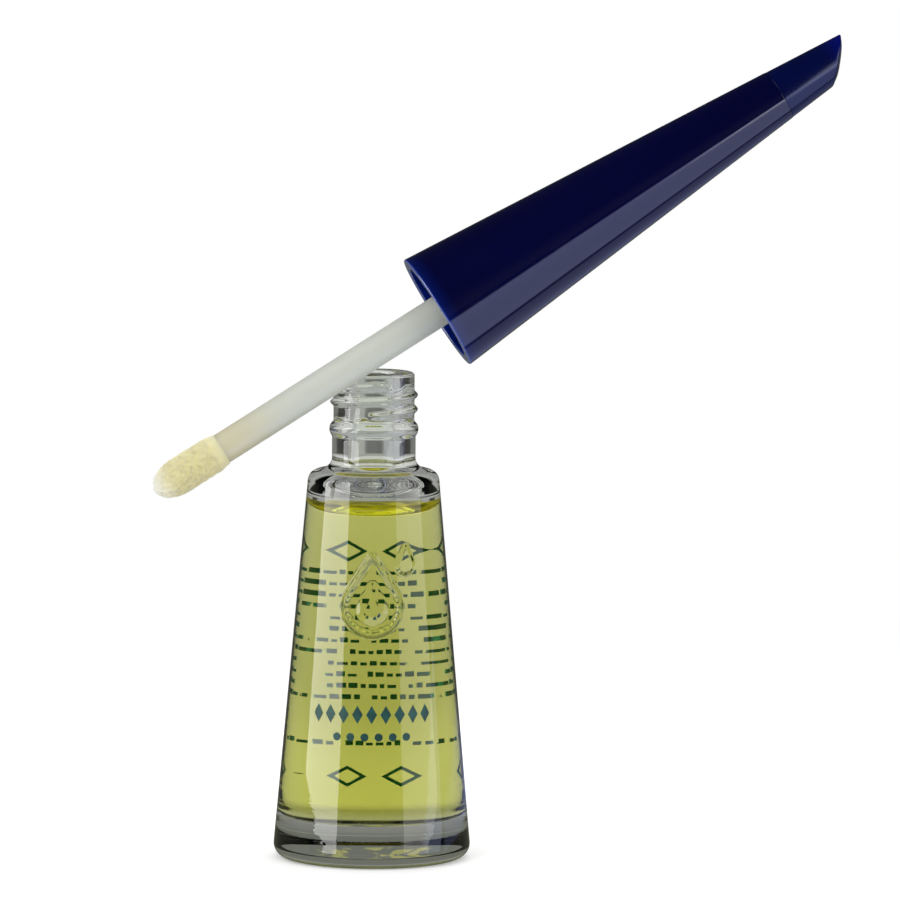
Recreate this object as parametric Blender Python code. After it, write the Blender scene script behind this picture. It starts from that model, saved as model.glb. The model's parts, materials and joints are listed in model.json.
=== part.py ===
"""A nail oil bottle of clear glass, with its tall cone cap taken off and held beside it.

The bottle stands on the origin with +Z up. The cap hangs in the air as in use: it leans
over to the right, and its wand passes in front of the bottle's neck. The cap's pieces are
modelled upright under an empty, with the mouth's centre at zero, the tip above and the
wand below, and the empty then leans them over. Lengths are in metres.
"""
import math

import bmesh
import bpy
from mathutils import Matrix, Vector

MM = 0.001

# Fits that several pieces share
FIT_GAP = 0.3 * MM
THREAD_CLEARANCE = 0.25 * MM

# Neck of the bottle, from the bore outwards
NECK_HEIGHT = 14.8 * MM
BORE_RADIUS = 3.0 * MM
FINISH_WALL = 3.0 * MM
THREAD_HEIGHT = 0.5 * MM
THREAD_WIDTH = 1.5 * MM
THREAD_PITCH = 2.12 * MM
THREAD_TURNS = 2.1
THREAD_FADE_TURNS = 0.17
THREAD_DROP = 1.6 * MM
THREAD_START = math.radians(296.0)
BEAD_HEIGHT = 0.6 * MM
BEAD_WIDTH = 2.3 * MM
BEAD_DROP = 7.2 * MM
NECK_SWELL = 0.2 * MM
NECK_FILLET = 1.7 * MM
RIM_ROUND = 0.9 * MM
LIP_ROUND = 0.5 * MM

# Body of the bottle
SHOULDER_HEIGHT = 57.6 * MM
SHOULDER_RISE = 0.8 * MM
SHOULDER_ROUND = 1.7 * MM
BASE_RADIUS = 14.8 * MM
HEEL_ROUND = 2.0 * MM
WALL = 2.7 * MM
FLOOR_THICKNESS = 5.8 * MM
ROOF_THICKNESS = 1.8 * MM
FLOOR_ROUND = 2.4 * MM
ROOF_ROUND = 2.0 * MM
THROAT_FILLET = 1.2 * MM

# Oil
OIL_TO_ROOF = 0.4 * MM
MENISCUS_RISE = 1.2 * MM
MENISCUS_WIDTH = 1.5 * MM

# Cap shell
MOUTH_ROOM = 0.85 * MM
MOUTH_WALL = 1.65 * MM
MOUTH_STEP = 0.55 * MM
MOUTH_CLEARANCE = 0.2 * MM
MOUTH_ROUND = 0.35 * MM
CAP_LENGTH = 60.0 * MM
CAP_SEAM_RADIUS = 3.9 * MM
CAP_THREAD_TURNS = 1.6
CAP_THREAD_START = math.radians(120.0)
CAP_THREAD_LEAD = 1.3 * MM
CORE_ROOF = 3.2 * MM
CORE_WALL = 2.2 * MM

# Nail pusher at the cap's narrow end
TIP_LONG_SIDE = 13.0 * MM
TIP_SHORT_SIDE = 8.0 * MM
TIP_STEP = 0.15 * MM
TIP_EDGE_ROUND = 0.4 * MM
SOCKET_WALL = 1.6 * MM
SPIGOT_LENGTH = 6.5 * MM

# Washer and wand
WASHER_THICKNESS = 1.0 * MM
FLANGE_THICKNESS = 1.2 * MM
PLUG_LENGTH = 8.0 * MM
PLUG_STEP = 1.05 * MM
STEM_WALL = 1.0 * MM
STEM_SOLID_LENGTH = 2.0 * MM
WIPE_CLEARANCE = 0.25 * MM
WAND_FLOOR_GAP = 3.2 * MM
FLOCK_LENGTH = 11.1 * MM
FLOCK_STEP = 0.45 * MM
FLOCK_THICKNESS = 0.6 * MM
FLOCK_NOSE_ROUND = 2.4 * MM
BARB_LENGTH = 6.0 * MM
BARB_NECK_SHARE = 0.75

# Where the cap is held, found from the crossing where its wand passes the neck
CAP_LEAN = math.radians(58.0)
CAP_BEARING = math.radians(8.8)
CAP_SPIN = math.radians(171.0)
CROSSING_RISE = 4.75 * MM
CROSSING_GAP = 0.5 * MM
CROSSING_TO_MOUTH = 9.3 * MM

# How finely round shapes are cut
LARGE_SIDES = 40
SMALL_SIDES = 24
ARC_STEP = math.radians(30.0)
THREAD_ROWS = 16
SHARP_ANGLE = math.radians(40.0)
ROUNDING_SHARE = 0.48
CUT_OVERRUN = 2.0 * MM
TOUCH = 0.0001 * MM

# Sizes that follow from those above
BOTTLE_HEIGHT = SHOULDER_HEIGHT + NECK_HEIGHT
ROOF_HEIGHT = SHOULDER_HEIGHT - ROOF_THICKNESS
OIL_LEVEL = ROOF_HEIGHT - ROOF_ROUND - OIL_TO_ROOF - MENISCUS_RISE
FINISH_RADIUS = BORE_RADIUS + FINISH_WALL
THREAD_RADIUS = FINISH_RADIUS + THREAD_HEIGHT
BEAD_RADIUS = FINISH_RADIUS + BEAD_HEIGHT
NECK_RADIUS = FINISH_RADIUS + NECK_SWELL
THREAD_TOP = BOTTLE_HEIGHT - THREAD_DROP
BEAD_TOP = BOTTLE_HEIGHT - BEAD_DROP
BEAD_FOOT = BEAD_TOP - BEAD_WIDTH

MOUTH_BORE_RADIUS = BEAD_RADIUS + MOUTH_ROOM
CAP_MOUTH_RADIUS = MOUTH_BORE_RADIUS + MOUTH_WALL
SHOULDER_RADIUS = CAP_MOUTH_RADIUS + MOUTH_STEP
CAP_FINISH_RADIUS = FINISH_RADIUS + THREAD_CLEARANCE
CAP_GROOVE_RADIUS = THREAD_RADIUS + THREAD_CLEARANCE
RIM_SEAT = NECK_HEIGHT - SHOULDER_RISE / 2 - MOUTH_CLEARANCE
MOUTH_BORE_DEPTH = RIM_SEAT - BEAD_DROP + THREAD_CLEARANCE

FLOCK_RADIUS = BORE_RADIUS - WIPE_CLEARANCE
STEM_RADIUS = FLOCK_RADIUS - FLOCK_STEP
STEM_BORE_RADIUS = STEM_RADIUS - STEM_WALL
WAND_REACH = BOTTLE_HEIGHT - RIM_SEAT - FLOOR_THICKNESS - WAND_FLOOR_GAP
STEM_REACH = WAND_REACH - FLOCK_LENGTH
SEAL_RADIUS = CAP_FINISH_RADIUS - FIT_GAP
PLUG_RADIUS = SEAL_RADIUS - PLUG_STEP
WASHER_TOP = RIM_SEAT + WASHER_THICKNESS
FLANGE_FOOT = WASHER_TOP + FIT_GAP
FLANGE_TOP = FLANGE_FOOT + FLANGE_THICKNESS
PLUG_TOP = FLANGE_TOP + PLUG_LENGTH
SPIGOT_RADIUS = CAP_SEAM_RADIUS - SOCKET_WALL - FIT_GAP
SOCKET_FLOOR = CAP_LENGTH - SPIGOT_LENGTH - FIT_GAP
CORE_TOP = SOCKET_FLOOR - CORE_ROOF


def body_radius(height):
    """Radius of the bottle's outer cone at a height above the foot."""
    return BASE_RADIUS + (SHOULDER_RADIUS - BASE_RADIUS) * height / SHOULDER_HEIGHT


def cap_radius(height):
    """Radius of the cap's outer cone at a height above the cap's mouth."""
    return CAP_MOUTH_RADIUS + (CAP_SEAM_RADIUS - CAP_MOUTH_RADIUS) * height / CAP_LENGTH


def rounded(corners):
    """Points of an outline through (radius, height, rounding) corners, its corners as arcs."""
    points = []
    places = [Vector(corner[:2]) for corner in corners]
    for i, (_, _, rounding) in enumerate(corners):
        here = places[i]
        before = places[i - 1] - here
        after = places[(i + 1) % len(places)] - here
        turn = math.pi - before.angle(after)
        if not rounding or turn < ARC_STEP / 4:
            points.append(here)
            continue
        # a rounding never takes more than its share of the shorter side
        room = min(before.length, after.length) * ROUNDING_SHARE
        reach = min(rounding * math.tan(turn / 2), room)
        radius = reach / math.tan(turn / 2)
        start = here + before.normalized() * reach
        inward = (before.normalized() + after.normalized()).normalized()
        centre = here + inward * math.hypot(reach, radius)
        spoke = start - centre
        way = 1 if before.cross(after) < 0 else -1
        steps = max(2, math.ceil(turn / ARC_STEP))
        for step in range(steps + 1):
            points.append(centre + Matrix.Rotation(way * turn * step / steps, 2) @ spoke)
    return points


def turned(name, outline, sides, closed=False, shape=None):
    """A solid turned about Z from an outline. A closed outline makes a ring; any other
    runs from the axis to the axis. shape(bm) may move the turned points."""
    bm = bmesh.new()
    verts = [bm.verts.new((point[0], 0, point[1])) for point in outline]
    pairs = list(zip(verts, verts[1:]))
    if closed:
        pairs.append((verts[-1], verts[0]))
    edges = [bm.edges.new(pair) for pair in pairs]
    bmesh.ops.spin(
        bm, geom=verts + edges, cent=(0, 0, 0), axis=(0, 0, 1), angle=math.tau, steps=sides, use_merge=True
    )
    bmesh.ops.remove_doubles(bm, verts=bm.verts, dist=TOUCH)
    if shape:
        shape(bm)
    return finished(name, bm)


def finished(name, bm):
    """Turns a bmesh into a named, smooth-shaded object with its faces pointing out."""
    bmesh.ops.recalc_face_normals(bm, faces=bm.faces)
    mesh = bpy.data.meshes.new(name)
    bm.to_mesh(mesh)
    bm.free()
    mesh.shade_smooth()
    mesh.set_sharp_from_angle(angle=SHARP_ANGLE)
    piece = bpy.data.objects.new(name, mesh)
    bpy.context.scene.collection.objects.link(piece)
    return piece


def painted(piece, colour, roughness, transmission=0.0):
    """Gives a piece its own Principled material."""
    material = bpy.data.materials.new(piece.name)
    material.use_nodes = True
    shader = material.node_tree.nodes["Principled BSDF"]
    shader.inputs["Base Color"].default_value = (*colour, 1)
    shader.inputs["Roughness"].default_value = roughness
    shader.inputs["Metallic"].default_value = 0
    shader.inputs["Transmission Weight"].default_value = transmission
    piece.data.materials.append(material)
    return piece


def rows_between(radius, low, high):
    """Plain outline points up a straight wall, close enough together to carry a thread."""
    return [(radius, low + (high - low) * row / THREAD_ROWS, 0) for row in range(1, THREAD_ROWS)]


def thread_rise(angle, height, start, top, turns):
    """Share of its full height that a right-handed thread has at a place on a wall. The
    thread starts at the angle start and the height top and winds down; its ends fade."""
    rise = 0
    for lap in range(math.ceil(turns)):
        along = lap + (start - angle) % math.tau / math.tau
        offset = abs(height - (top - along * THREAD_PITCH)) / (THREAD_WIDTH / 2)
        if along < turns and offset < 1:
            fade = min(1, min(along, turns - along) / THREAD_FADE_TURNS)
            rise = max(rise, fade * (1 + math.cos(offset * math.pi)) / 2)
    return rise


def cut_thread(bm, wall_radius, low, high, height, **thread):
    """Moves the points of a turned wall out, or in if height is negative, as a thread."""
    for vert in bm.verts:
        radius = math.hypot(vert.co.x, vert.co.y)
        if abs(radius - wall_radius) > TOUCH or not low < vert.co.z < high:
            continue
        angle = math.atan2(vert.co.y, vert.co.x)
        scale = 1 + thread_rise(angle, vert.co.z, **thread) * height / radius
        vert.co.x *= scale
        vert.co.y *= scale


def make_bottle():
    """The glass bottle: a cone with a thick floor, a round shoulder and a threaded neck."""
    throat = ROOF_HEIGHT + SHOULDER_RISE
    finish_foot = BEAD_TOP + RIM_ROUND / 2
    finish_top = BOTTLE_HEIGHT - RIM_ROUND
    outline = rounded(
        [
            (0, 0, 0),
            (BASE_RADIUS, 0, HEEL_ROUND),
            (SHOULDER_RADIUS, SHOULDER_HEIGHT, SHOULDER_ROUND),
            (NECK_RADIUS, SHOULDER_HEIGHT + SHOULDER_RISE, NECK_FILLET),
            (NECK_RADIUS, BEAD_FOOT, BEAD_HEIGHT / 4),
            (BEAD_RADIUS, BEAD_FOOT + BEAD_HEIGHT / 2, BEAD_WIDTH / 4),
            (BEAD_RADIUS, BEAD_TOP - BEAD_HEIGHT / 2, BEAD_WIDTH / 4),
            (FINISH_RADIUS, BEAD_TOP, BEAD_HEIGHT / 4),
            *rows_between(FINISH_RADIUS, finish_foot, finish_top),
            (FINISH_RADIUS, BOTTLE_HEIGHT, RIM_ROUND),
            (BORE_RADIUS, BOTTLE_HEIGHT, LIP_ROUND),
            (BORE_RADIUS, throat, THROAT_FILLET),
            (body_radius(ROOF_HEIGHT) - WALL, ROOF_HEIGHT, ROOF_ROUND),
            (body_radius(FLOOR_THICKNESS) - WALL, FLOOR_THICKNESS, FLOOR_ROUND),
            (0, FLOOR_THICKNESS, 0),
        ]
    )

    def shape(bm):
        thread = dict(start=THREAD_START, top=THREAD_TOP, turns=THREAD_TURNS)
        cut_thread(bm, FINISH_RADIUS, BEAD_TOP, finish_top, THREAD_HEIGHT, **thread)

    bottle = turned("glass_bottle", outline, LARGE_SIDES, shape=shape)
    return painted(bottle, (0.86, 0.9, 0.88), 0.04, transmission=1.0)


def make_oil():
    """The oil, which fills the cavity to its level and creeps up the glass at its edge."""
    floor = FLOOR_THICKNESS + FIT_GAP
    edge = OIL_LEVEL + MENISCUS_RISE
    wall = WALL + FIT_GAP
    outline = rounded(
        [
            (0, floor, 0),
            (body_radius(floor) - wall, floor, FLOOR_ROUND),
            (body_radius(edge) - wall, edge, 0),
            (body_radius(edge) - wall - FIT_GAP, edge, 0),
            (body_radius(OIL_LEVEL) - wall - MENISCUS_WIDTH, OIL_LEVEL, MENISCUS_WIDTH),
            (0, OIL_LEVEL, 0),
        ]
    )
    return painted(turned("oil_fill", outline, LARGE_SIDES), (0.6, 0.58, 0.12), 0.05, transmission=1.0)


def make_cap_shell():
    """The glossy cone of the cap, with its thread, the wand's bore and the tip's socket."""
    ledge = FLANGE_TOP + FIT_GAP
    thread_end = RIM_SEAT - FIT_GAP
    outline = rounded(
        [
            (0, CORE_TOP, 0),
            (cap_radius(CORE_TOP) - CORE_WALL, CORE_TOP, CORE_WALL / 2),
            (PLUG_RADIUS + FIT_GAP, PLUG_TOP + FIT_GAP, 0),
            (PLUG_RADIUS + FIT_GAP, ledge, 0),
            (CAP_FINISH_RADIUS, ledge, 0),
            (CAP_FINISH_RADIUS, RIM_SEAT, 0),
            (CAP_GROOVE_RADIUS, thread_end, 0),
            *reversed(rows_between(CAP_GROOVE_RADIUS, MOUTH_BORE_DEPTH, thread_end)),
            (CAP_GROOVE_RADIUS, MOUTH_BORE_DEPTH, 0),
            (MOUTH_BORE_RADIUS, MOUTH_BORE_DEPTH - THREAD_HEIGHT, 0),
            (MOUTH_BORE_RADIUS, 0, MOUTH_ROUND),
            (CAP_MOUTH_RADIUS, 0, MOUTH_ROUND),
            (CAP_SEAM_RADIUS, CAP_LENGTH, MOUTH_ROUND),
            (SPIGOT_RADIUS + FIT_GAP, CAP_LENGTH, 0),
            (SPIGOT_RADIUS + FIT_GAP, SOCKET_FLOOR, 0),
            (0, SOCKET_FLOOR, 0),
        ]
    )

    def shape(bm):
        thread = dict(start=CAP_THREAD_START, top=RIM_SEAT - CAP_THREAD_LEAD, turns=CAP_THREAD_TURNS)
        cut_thread(bm, CAP_GROOVE_RADIUS, MOUTH_BORE_DEPTH, thread_end, -THREAD_HEIGHT, **thread)

    shell = turned("cap_shell", outline, LARGE_SIDES, shape=shape)
    return painted(shell, (0.005, 0.008, 0.07), 0.12)


def make_pusher_tip():
    """The satin nail pusher: a cone cut off slantwise, on a spigot in the cap's socket."""
    foot = CAP_LENGTH + FIT_GAP
    long_end = CAP_LENGTH + TIP_LONG_SIDE
    short_end = CAP_LENGTH + TIP_SHORT_SIDE
    above = long_end + CUT_OVERRUN
    outline = rounded(
        [
            (0, foot - SPIGOT_LENGTH, 0),
            (SPIGOT_RADIUS, foot - SPIGOT_LENGTH, TIP_EDGE_ROUND),
            (SPIGOT_RADIUS, foot, 0),
            (cap_radius(foot) - TIP_STEP, foot, TIP_STEP),
            (cap_radius(above) - TIP_STEP, above, 0),
            (0, above, 0),
        ]
    )
    long_point = Vector((cap_radius(long_end) - TIP_STEP, 0, long_end))
    short_point = Vector((TIP_STEP - cap_radius(short_end), 0, short_end))
    along = long_point - short_point

    def shape(bm):
        whole = bm.verts[:] + bm.edges[:] + bm.faces[:]
        normal = Vector((-along.z, 0, along.x))
        bmesh.ops.bisect_plane(bm, geom=whole, plane_co=long_point, plane_no=normal, clear_outer=True)
        rim = [edge for edge in bm.edges if edge.is_boundary]
        bmesh.ops.holes_fill(bm, edges=rim)
        bmesh.ops.bevel(
            bm, geom=rim, offset=TIP_EDGE_ROUND, segments=2, profile=0.5, affect="EDGES", material=-1
        )

    return painted(turned("pusher_tip", outline, SMALL_SIDES, shape=shape), (0.012, 0.014, 0.09), 0.42)


def make_seal_washer():
    """The washer that the bottle's rim seals against, loose round the wand's stem."""
    inner = STEM_RADIUS + FIT_GAP
    ring = [(inner, RIM_SEAT), (SEAL_RADIUS, RIM_SEAT), (SEAL_RADIUS, WASHER_TOP), (inner, WASHER_TOP)]
    return painted(turned("seal_washer", ring, LARGE_SIDES, closed=True), (0.7, 0.72, 0.7), 0.6)


def make_wand_stem():
    """The frosted wand: a hollow stem, a flange above the washer, and a plug in the cap."""
    plug_bore = PLUG_RADIUS - STEM_WALL
    outline = rounded(
        [
            (0, -STEM_SOLID_LENGTH, 0),
            (STEM_BORE_RADIUS, -STEM_SOLID_LENGTH, STEM_BORE_RADIUS / 2),
            (STEM_BORE_RADIUS, -STEM_REACH, 0),
            (STEM_RADIUS, -STEM_REACH, STEM_WALL / 4),
            (STEM_RADIUS, FLANGE_FOOT, 0),
            (SEAL_RADIUS, FLANGE_FOOT, 0),
            (SEAL_RADIUS, FLANGE_TOP, 0),
            (PLUG_RADIUS, FLANGE_TOP, 0),
            (PLUG_RADIUS, PLUG_TOP, STEM_WALL / 2),
            (plug_bore, PLUG_TOP, 0),
            (plug_bore, FLANGE_TOP, STEM_WALL / 2),
            (0, FLANGE_TOP, 0),
        ]
    )
    return painted(turned("wand_stem", outline, SMALL_SIDES), (0.6, 0.6, 0.56), 0.45, transmission=0.3)


def make_applicator_nib():
    """The soft core of the applicator, with a barb that holds in the stem's bore."""
    core_radius = FLOCK_RADIUS - FLOCK_THICKNESS - FIT_GAP
    barb_radius = STEM_BORE_RADIUS - FIT_GAP
    shoulder = -STEM_REACH - FIT_GAP
    end = -WAND_REACH + FLOCK_THICKNESS + FIT_GAP
    barb_top = shoulder + BARB_LENGTH
    barb_neck = barb_radius * BARB_NECK_SHARE
    outline = rounded(
        [
            (0, end, 0),
            (core_radius, end, FLOCK_NOSE_ROUND - FLOCK_THICKNESS - FIT_GAP),
            (core_radius, shoulder, 0),
            (barb_neck, shoulder, 0),
            (barb_neck, barb_top - barb_radius * 2, 0),
            (barb_radius, barb_top - barb_radius * 2, 0),
            (barb_neck, barb_top, 0),
            (0, barb_top, 0),
        ]
    )
    return painted(turned("applicator_nib", outline, SMALL_SIDES), (0.75, 0.74, 0.6), 0.6)


def make_flock_sleeve():
    """The flocked coat over the nib, open towards the stem."""
    inner = FLOCK_RADIUS - FLOCK_THICKNESS
    nose = FLOCK_NOSE_ROUND - FLOCK_THICKNESS
    open_end = -STEM_REACH - FIT_GAP
    outline = rounded(
        [
            (0, -WAND_REACH, 0),
            (FLOCK_RADIUS, -WAND_REACH, FLOCK_NOSE_ROUND),
            (FLOCK_RADIUS, open_end, FLOCK_THICKNESS / 3),
            (inner, open_end, 0),
            (inner, -WAND_REACH + FLOCK_THICKNESS, nose),
            (0, -WAND_REACH + FLOCK_THICKNESS, 0),
        ]
    )
    return painted(turned("flock_sleeve", outline, SMALL_SIDES), (0.78, 0.74, 0.42), 0.95)


def cap_place():
    """World matrix of the cap as it is held. Its wand's line crosses in front of the
    bottle's neck, clear of the thread, a little above the rim."""
    turn = (
        Matrix.Rotation(CAP_BEARING, 4, "Z")
        @ Matrix.Rotation(CAP_LEAN, 4, "Y")
        @ Matrix.Rotation(CAP_SPIN, 4, "Z")
    )
    axis = turn @ Vector((0, 0, 1))
    across = Vector((math.sin(CAP_BEARING), -math.cos(CAP_BEARING), 0))
    crossing = across * (THREAD_RADIUS + CROSSING_GAP + STEM_RADIUS)
    crossing.z = BOTTLE_HEIGHT + CROSSING_RISE
    return Matrix.Translation(crossing + axis * CROSSING_TO_MOUTH) @ turn


def hold_cap(pieces):
    """Parents the cap's pieces to an empty on the cap's axis, at the centre of its mouth."""
    holder = bpy.data.objects.new("cap_axis", None)
    bpy.context.scene.collection.objects.link(holder)
    holder.empty_display_size = CAP_MOUTH_RADIUS
    holder.matrix_world = cap_place()
    for piece in pieces:
        piece.parent = holder


def build():
    """Makes the whole object in an emptied scene."""
    for old in list(bpy.data.objects):
        bpy.data.objects.remove(old)
    make_bottle()
    make_oil()
    hold_cap(
        [
            make_cap_shell(),
            make_pusher_tip(),
            make_seal_washer(),
            make_wand_stem(),
            make_applicator_nib(),
            make_flock_sleeve(),
        ]
    )
    bpy.context.view_layer.update()


build()
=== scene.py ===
"""The looks of a nail oil bottle: clear glass, yellow oil, a navy cone cap and a flocked wand.

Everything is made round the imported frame, in metres, with the bottle's foot at the origin.
The cap's pieces are shaped upright, with the centre of the cap's mouth at zero, the tip
above and the wand below, and are then laid over to where the frame's joint holds the cap.
"""
import json
import math
import random

import bmesh
import bpy
from mathutils import Matrix, Vector, noise


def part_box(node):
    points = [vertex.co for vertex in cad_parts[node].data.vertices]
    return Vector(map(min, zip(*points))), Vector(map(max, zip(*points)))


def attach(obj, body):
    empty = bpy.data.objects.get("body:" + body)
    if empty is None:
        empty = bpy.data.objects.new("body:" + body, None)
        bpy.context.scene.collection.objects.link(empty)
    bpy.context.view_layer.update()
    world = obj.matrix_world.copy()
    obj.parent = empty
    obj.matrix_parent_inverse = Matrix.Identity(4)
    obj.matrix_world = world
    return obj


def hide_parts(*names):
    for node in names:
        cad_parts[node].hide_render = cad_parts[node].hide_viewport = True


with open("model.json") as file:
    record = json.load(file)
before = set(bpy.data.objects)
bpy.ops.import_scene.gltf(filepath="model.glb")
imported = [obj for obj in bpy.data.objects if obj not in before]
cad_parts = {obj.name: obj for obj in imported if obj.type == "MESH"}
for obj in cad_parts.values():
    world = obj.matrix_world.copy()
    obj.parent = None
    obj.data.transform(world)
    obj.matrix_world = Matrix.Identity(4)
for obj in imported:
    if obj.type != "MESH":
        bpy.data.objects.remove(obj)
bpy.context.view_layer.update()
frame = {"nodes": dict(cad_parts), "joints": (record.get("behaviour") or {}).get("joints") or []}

MM = 0.001

# What the frame gives
oil_low, oil_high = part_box("oil_fill")
cap_turn = next(joint for joint in frame["joints"] if joint["name"] == "cap_turn")
BOTTLE_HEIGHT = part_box("glass_bottle")[1].z
OIL_EDGE = oil_high.z
CAP_CENTRE = Vector(cap_turn["pos_m"])
CAP_AXIS = Vector(cap_turn["axis"]).normalized()

# Fits
FIT_GAP = 0.3 * MM
HAIR = 0.02 * MM
TOUCH = 0.0001 * MM

# Neck of the bottle
NECK_HEIGHT = 14.8 * MM
BORE_RADIUS = 3.0 * MM
FINISH_RADIUS = 6.0 * MM
THREAD_HEIGHT = 0.5 * MM
THREAD_WIDTH = 1.5 * MM
THREAD_PITCH = 2.12 * MM
THREAD_TURNS = 2.1
THREAD_FADE_TURNS = 0.17
THREAD_DROP = 1.6 * MM
THREAD_START = math.radians(296.0)
BEAD_HEIGHT = 0.6 * MM
BEAD_WIDTH = 2.3 * MM
BEAD_SLOPE_SHARE = 0.3
BEAD_DROP = 7.2 * MM
NECK_RADIUS = 6.2 * MM
NECK_FILLET = 1.7 * MM
RIM_ROUND = 0.9 * MM
LIP_ROUND = 0.5 * MM

# Body of the bottle
SHOULDER_RADIUS = 9.65 * MM
SHOULDER_RISE = 0.8 * MM
SHOULDER_ROUND = 1.7 * MM
BASE_RADIUS = 14.8 * MM
HEEL_ROUND = 2.5 * MM
WALL = 2.7 * MM
FLOOR_THICKNESS = oil_low.z - FIT_GAP
ROOF_THICKNESS = 1.8 * MM
FLOOR_ROUND = 2.4 * MM
ROOF_ROUND = 3.0 * MM
ROOF_SLANT = 1.6 * MM
THROAT_FILLET = 1.2 * MM
PUSH_UP = 0.7 * MM
FOOT_RING_WIDTH = 2.2 * MM

# Droplets pressed into the glass on the front
DROP_PLACE = 40.8 * MM
DROP_RADIUS = 4.1 * MM
DROP_HEIGHT = 7.0 * MM
DROP_POINT_RADIUS = 0.4 * MM
SMALL_HEIGHT_SHARE = 0.9
SWELL_HEIGHT_SHARE = 0.7
RELIEF_HEIGHT = 0.42 * MM
RELIEF_LINE = 0.7 * MM
RELIEF_REACH = 9.2 * MM
RELIEF_WIDTH_SHARE = 0.8
RELIEF_ROWS = 36
RELIEF_CUTS = 3

# Oil
MENISCUS_RISE = 2.1 * MM
MENISCUS_FALL = 0.9 * MM
MENISCUS_WIDTH = 4.0 * MM
MENISCUS_STEPS = 12
MENISCUS_CROWDING = 1.5
OIL_LEVEL = OIL_EDGE - MENISCUS_RISE

# Ink
INK_THICKNESS = 0.04 * MM
LOZENGE_HEIGHT = 2.7 * MM
LOZENGE_WIDTH = 1.6 * MM
LOZENGE_PITCH = 2.1 * MM
LOZENGE_PLACE = 22.9 * MM
LOZENGES = 9
LOZENGE_CELLS = 6
DOT_RADIUS = 0.6 * MM
DOT_PITCH = 2.1 * MM
DOT_PLACE = 19.6 * MM
DOTS = 6
DOT_SIDES = 20
BAR_HEIGHT = 0.55 * MM
BAR_LOWEST = 0.4 * MM
BAR_HIGHEST = 0.8 * MM
BAR_SHORTEST = 0.22 * MM
BAR_LONGEST = 0.5 * MM
BAR_GAP = 0.16 * MM
GROUP_GAP = 0.5 * MM
GROUP_FEWEST = 3
GROUP_MOST = 8
ROW_REACH = 15.4 * MM
BAR_ROWS = (15.4 * MM, *(22.4 * MM + 1.72 * MM * row for row in range(12)))
BOLD_HEIGHT = 3.2 * MM
BOLD_WIDTH = 2.1 * MM
BOLD_PITCH = 2.9 * MM
BOLD_PLACES = (10.4 * MM, 44.6 * MM)
BOLDS = 8
PRINT_SEED = 7

# Cap shell
CAP_MOUTH_RADIUS = 9.1 * MM
MOUTH_BORE_RADIUS = 7.45 * MM
MOUTH_BORE_DEPTH = 7.25 * MM
MOUTH_ROUND = 0.22 * MM
CAP_LENGTH = 60.0 * MM
CAP_SEAM_RADIUS = 3.9 * MM
SEAM_ROUND = 0.08 * MM
CAP_GROOVE_RADIUS = 6.75 * MM
CAP_THREAD_TURNS = 1.6
CAP_THREAD_START = math.radians(120.0)
CAP_THREAD_LEAD = 1.3 * MM
CAP_FINISH_RADIUS = 6.25 * MM
RIM_SEAT = 14.2 * MM
PLUG_RADIUS = 4.9 * MM
PLUG_TOP = 24.7 * MM
CORE_TOP = 50.0 * MM
CORE_WALL = 2.2 * MM
SOCKET_RADIUS = 2.3 * MM
SOCKET_DEPTH = 6.8 * MM

# Nail pusher
TIP_LONG_SIDE = 13.0 * MM
TIP_SHORT_SIDE = 8.0 * MM
TIP_STEP = 0.04 * MM
TIP_SEAM = 0.03 * MM
TIP_EDGE_ROUND = 0.45 * MM
TIP_EDGE_STEPS = 5
TIP_BULGE = 0.4 * MM
TIP_SINK_SHARE = 0.6
TIP_CROWN_WIDTH = 2.1 * MM
TIP_RINGS = 7
SPIGOT_LENGTH = 6.5 * MM

# Wand
STEM_RADIUS = 2.3 * MM
STEM_BORE_RADIUS = 1.3 * MM
STEM_SOLID_LENGTH = 2.0 * MM
STEM_REACH = 38.1 * MM
WAND_REACH = 49.2 * MM
FLANGE_FOOT = 15.5 * MM
FLANGE_THICKNESS = 1.2 * MM
SEAL_RADIUS = 5.95 * MM
PLUG_WALL = 1.0 * MM

# Flocked coat
FLOCK_RADIUS = 2.75 * MM
FLOCK_THICKNESS = 0.6 * MM
FLOCK_NOSE_LENGTH = 4.4 * MM
FLOCK_NOSE_STEPS = 14
FLOCK_TAPER = 1.8 * MM
FLOCK_TAPER_STEPS = 9
FLOCK_ROWS = 40
FLOCK_OVERLAP = 0.5 * MM
FLOCK_END = 0.16 * MM
FLOCK_LUMP = 0.15 * MM
FLOCK_LUMP_SIZE = 0.6 * MM
FLOCK_LUMP_START = 0.35
FIBRE_LENGTH = 0.34 * MM
FIBRE_SHORTEST_SHARE = 0.6
FIBRE_RADIUS = 0.022 * MM
FIBRE_SIDES = 3
FIBRE_SUNK_SHARE = 0.5
FIBRE_LIE = 1.5
FIBRE_UPMOST = 0.4
FIBRES = 3600
FLOCK_SEED = 4

# How the cap is held
CAP_SPIN = math.radians(171.0)

# How finely round shapes are cut
GLASS_SIDES = 160
CAP_SIDES = 144
STEM_SIDES = 96
ARC_STEP = math.radians(9.0)
THREAD_ROWS = 60
SHARP_ANGLE = math.radians(35.0)
ROUNDING_SHARE = 0.47
HOLD = 0.12 * MM
HOLD_SHARE = 0.02

SHOULDER_HEIGHT = BOTTLE_HEIGHT - NECK_HEIGHT
ROOF_HEIGHT = SHOULDER_HEIGHT - ROOF_THICKNESS
THREAD_TOP = BOTTLE_HEIGHT - THREAD_DROP
BEAD_RADIUS = FINISH_RADIUS + BEAD_HEIGHT
BEAD_TOP = BOTTLE_HEIGHT - BEAD_DROP
BEAD_FOOT = BEAD_TOP - BEAD_WIDTH
FLANGE_TOP = FLANGE_FOOT + FLANGE_THICKNESS


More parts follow.
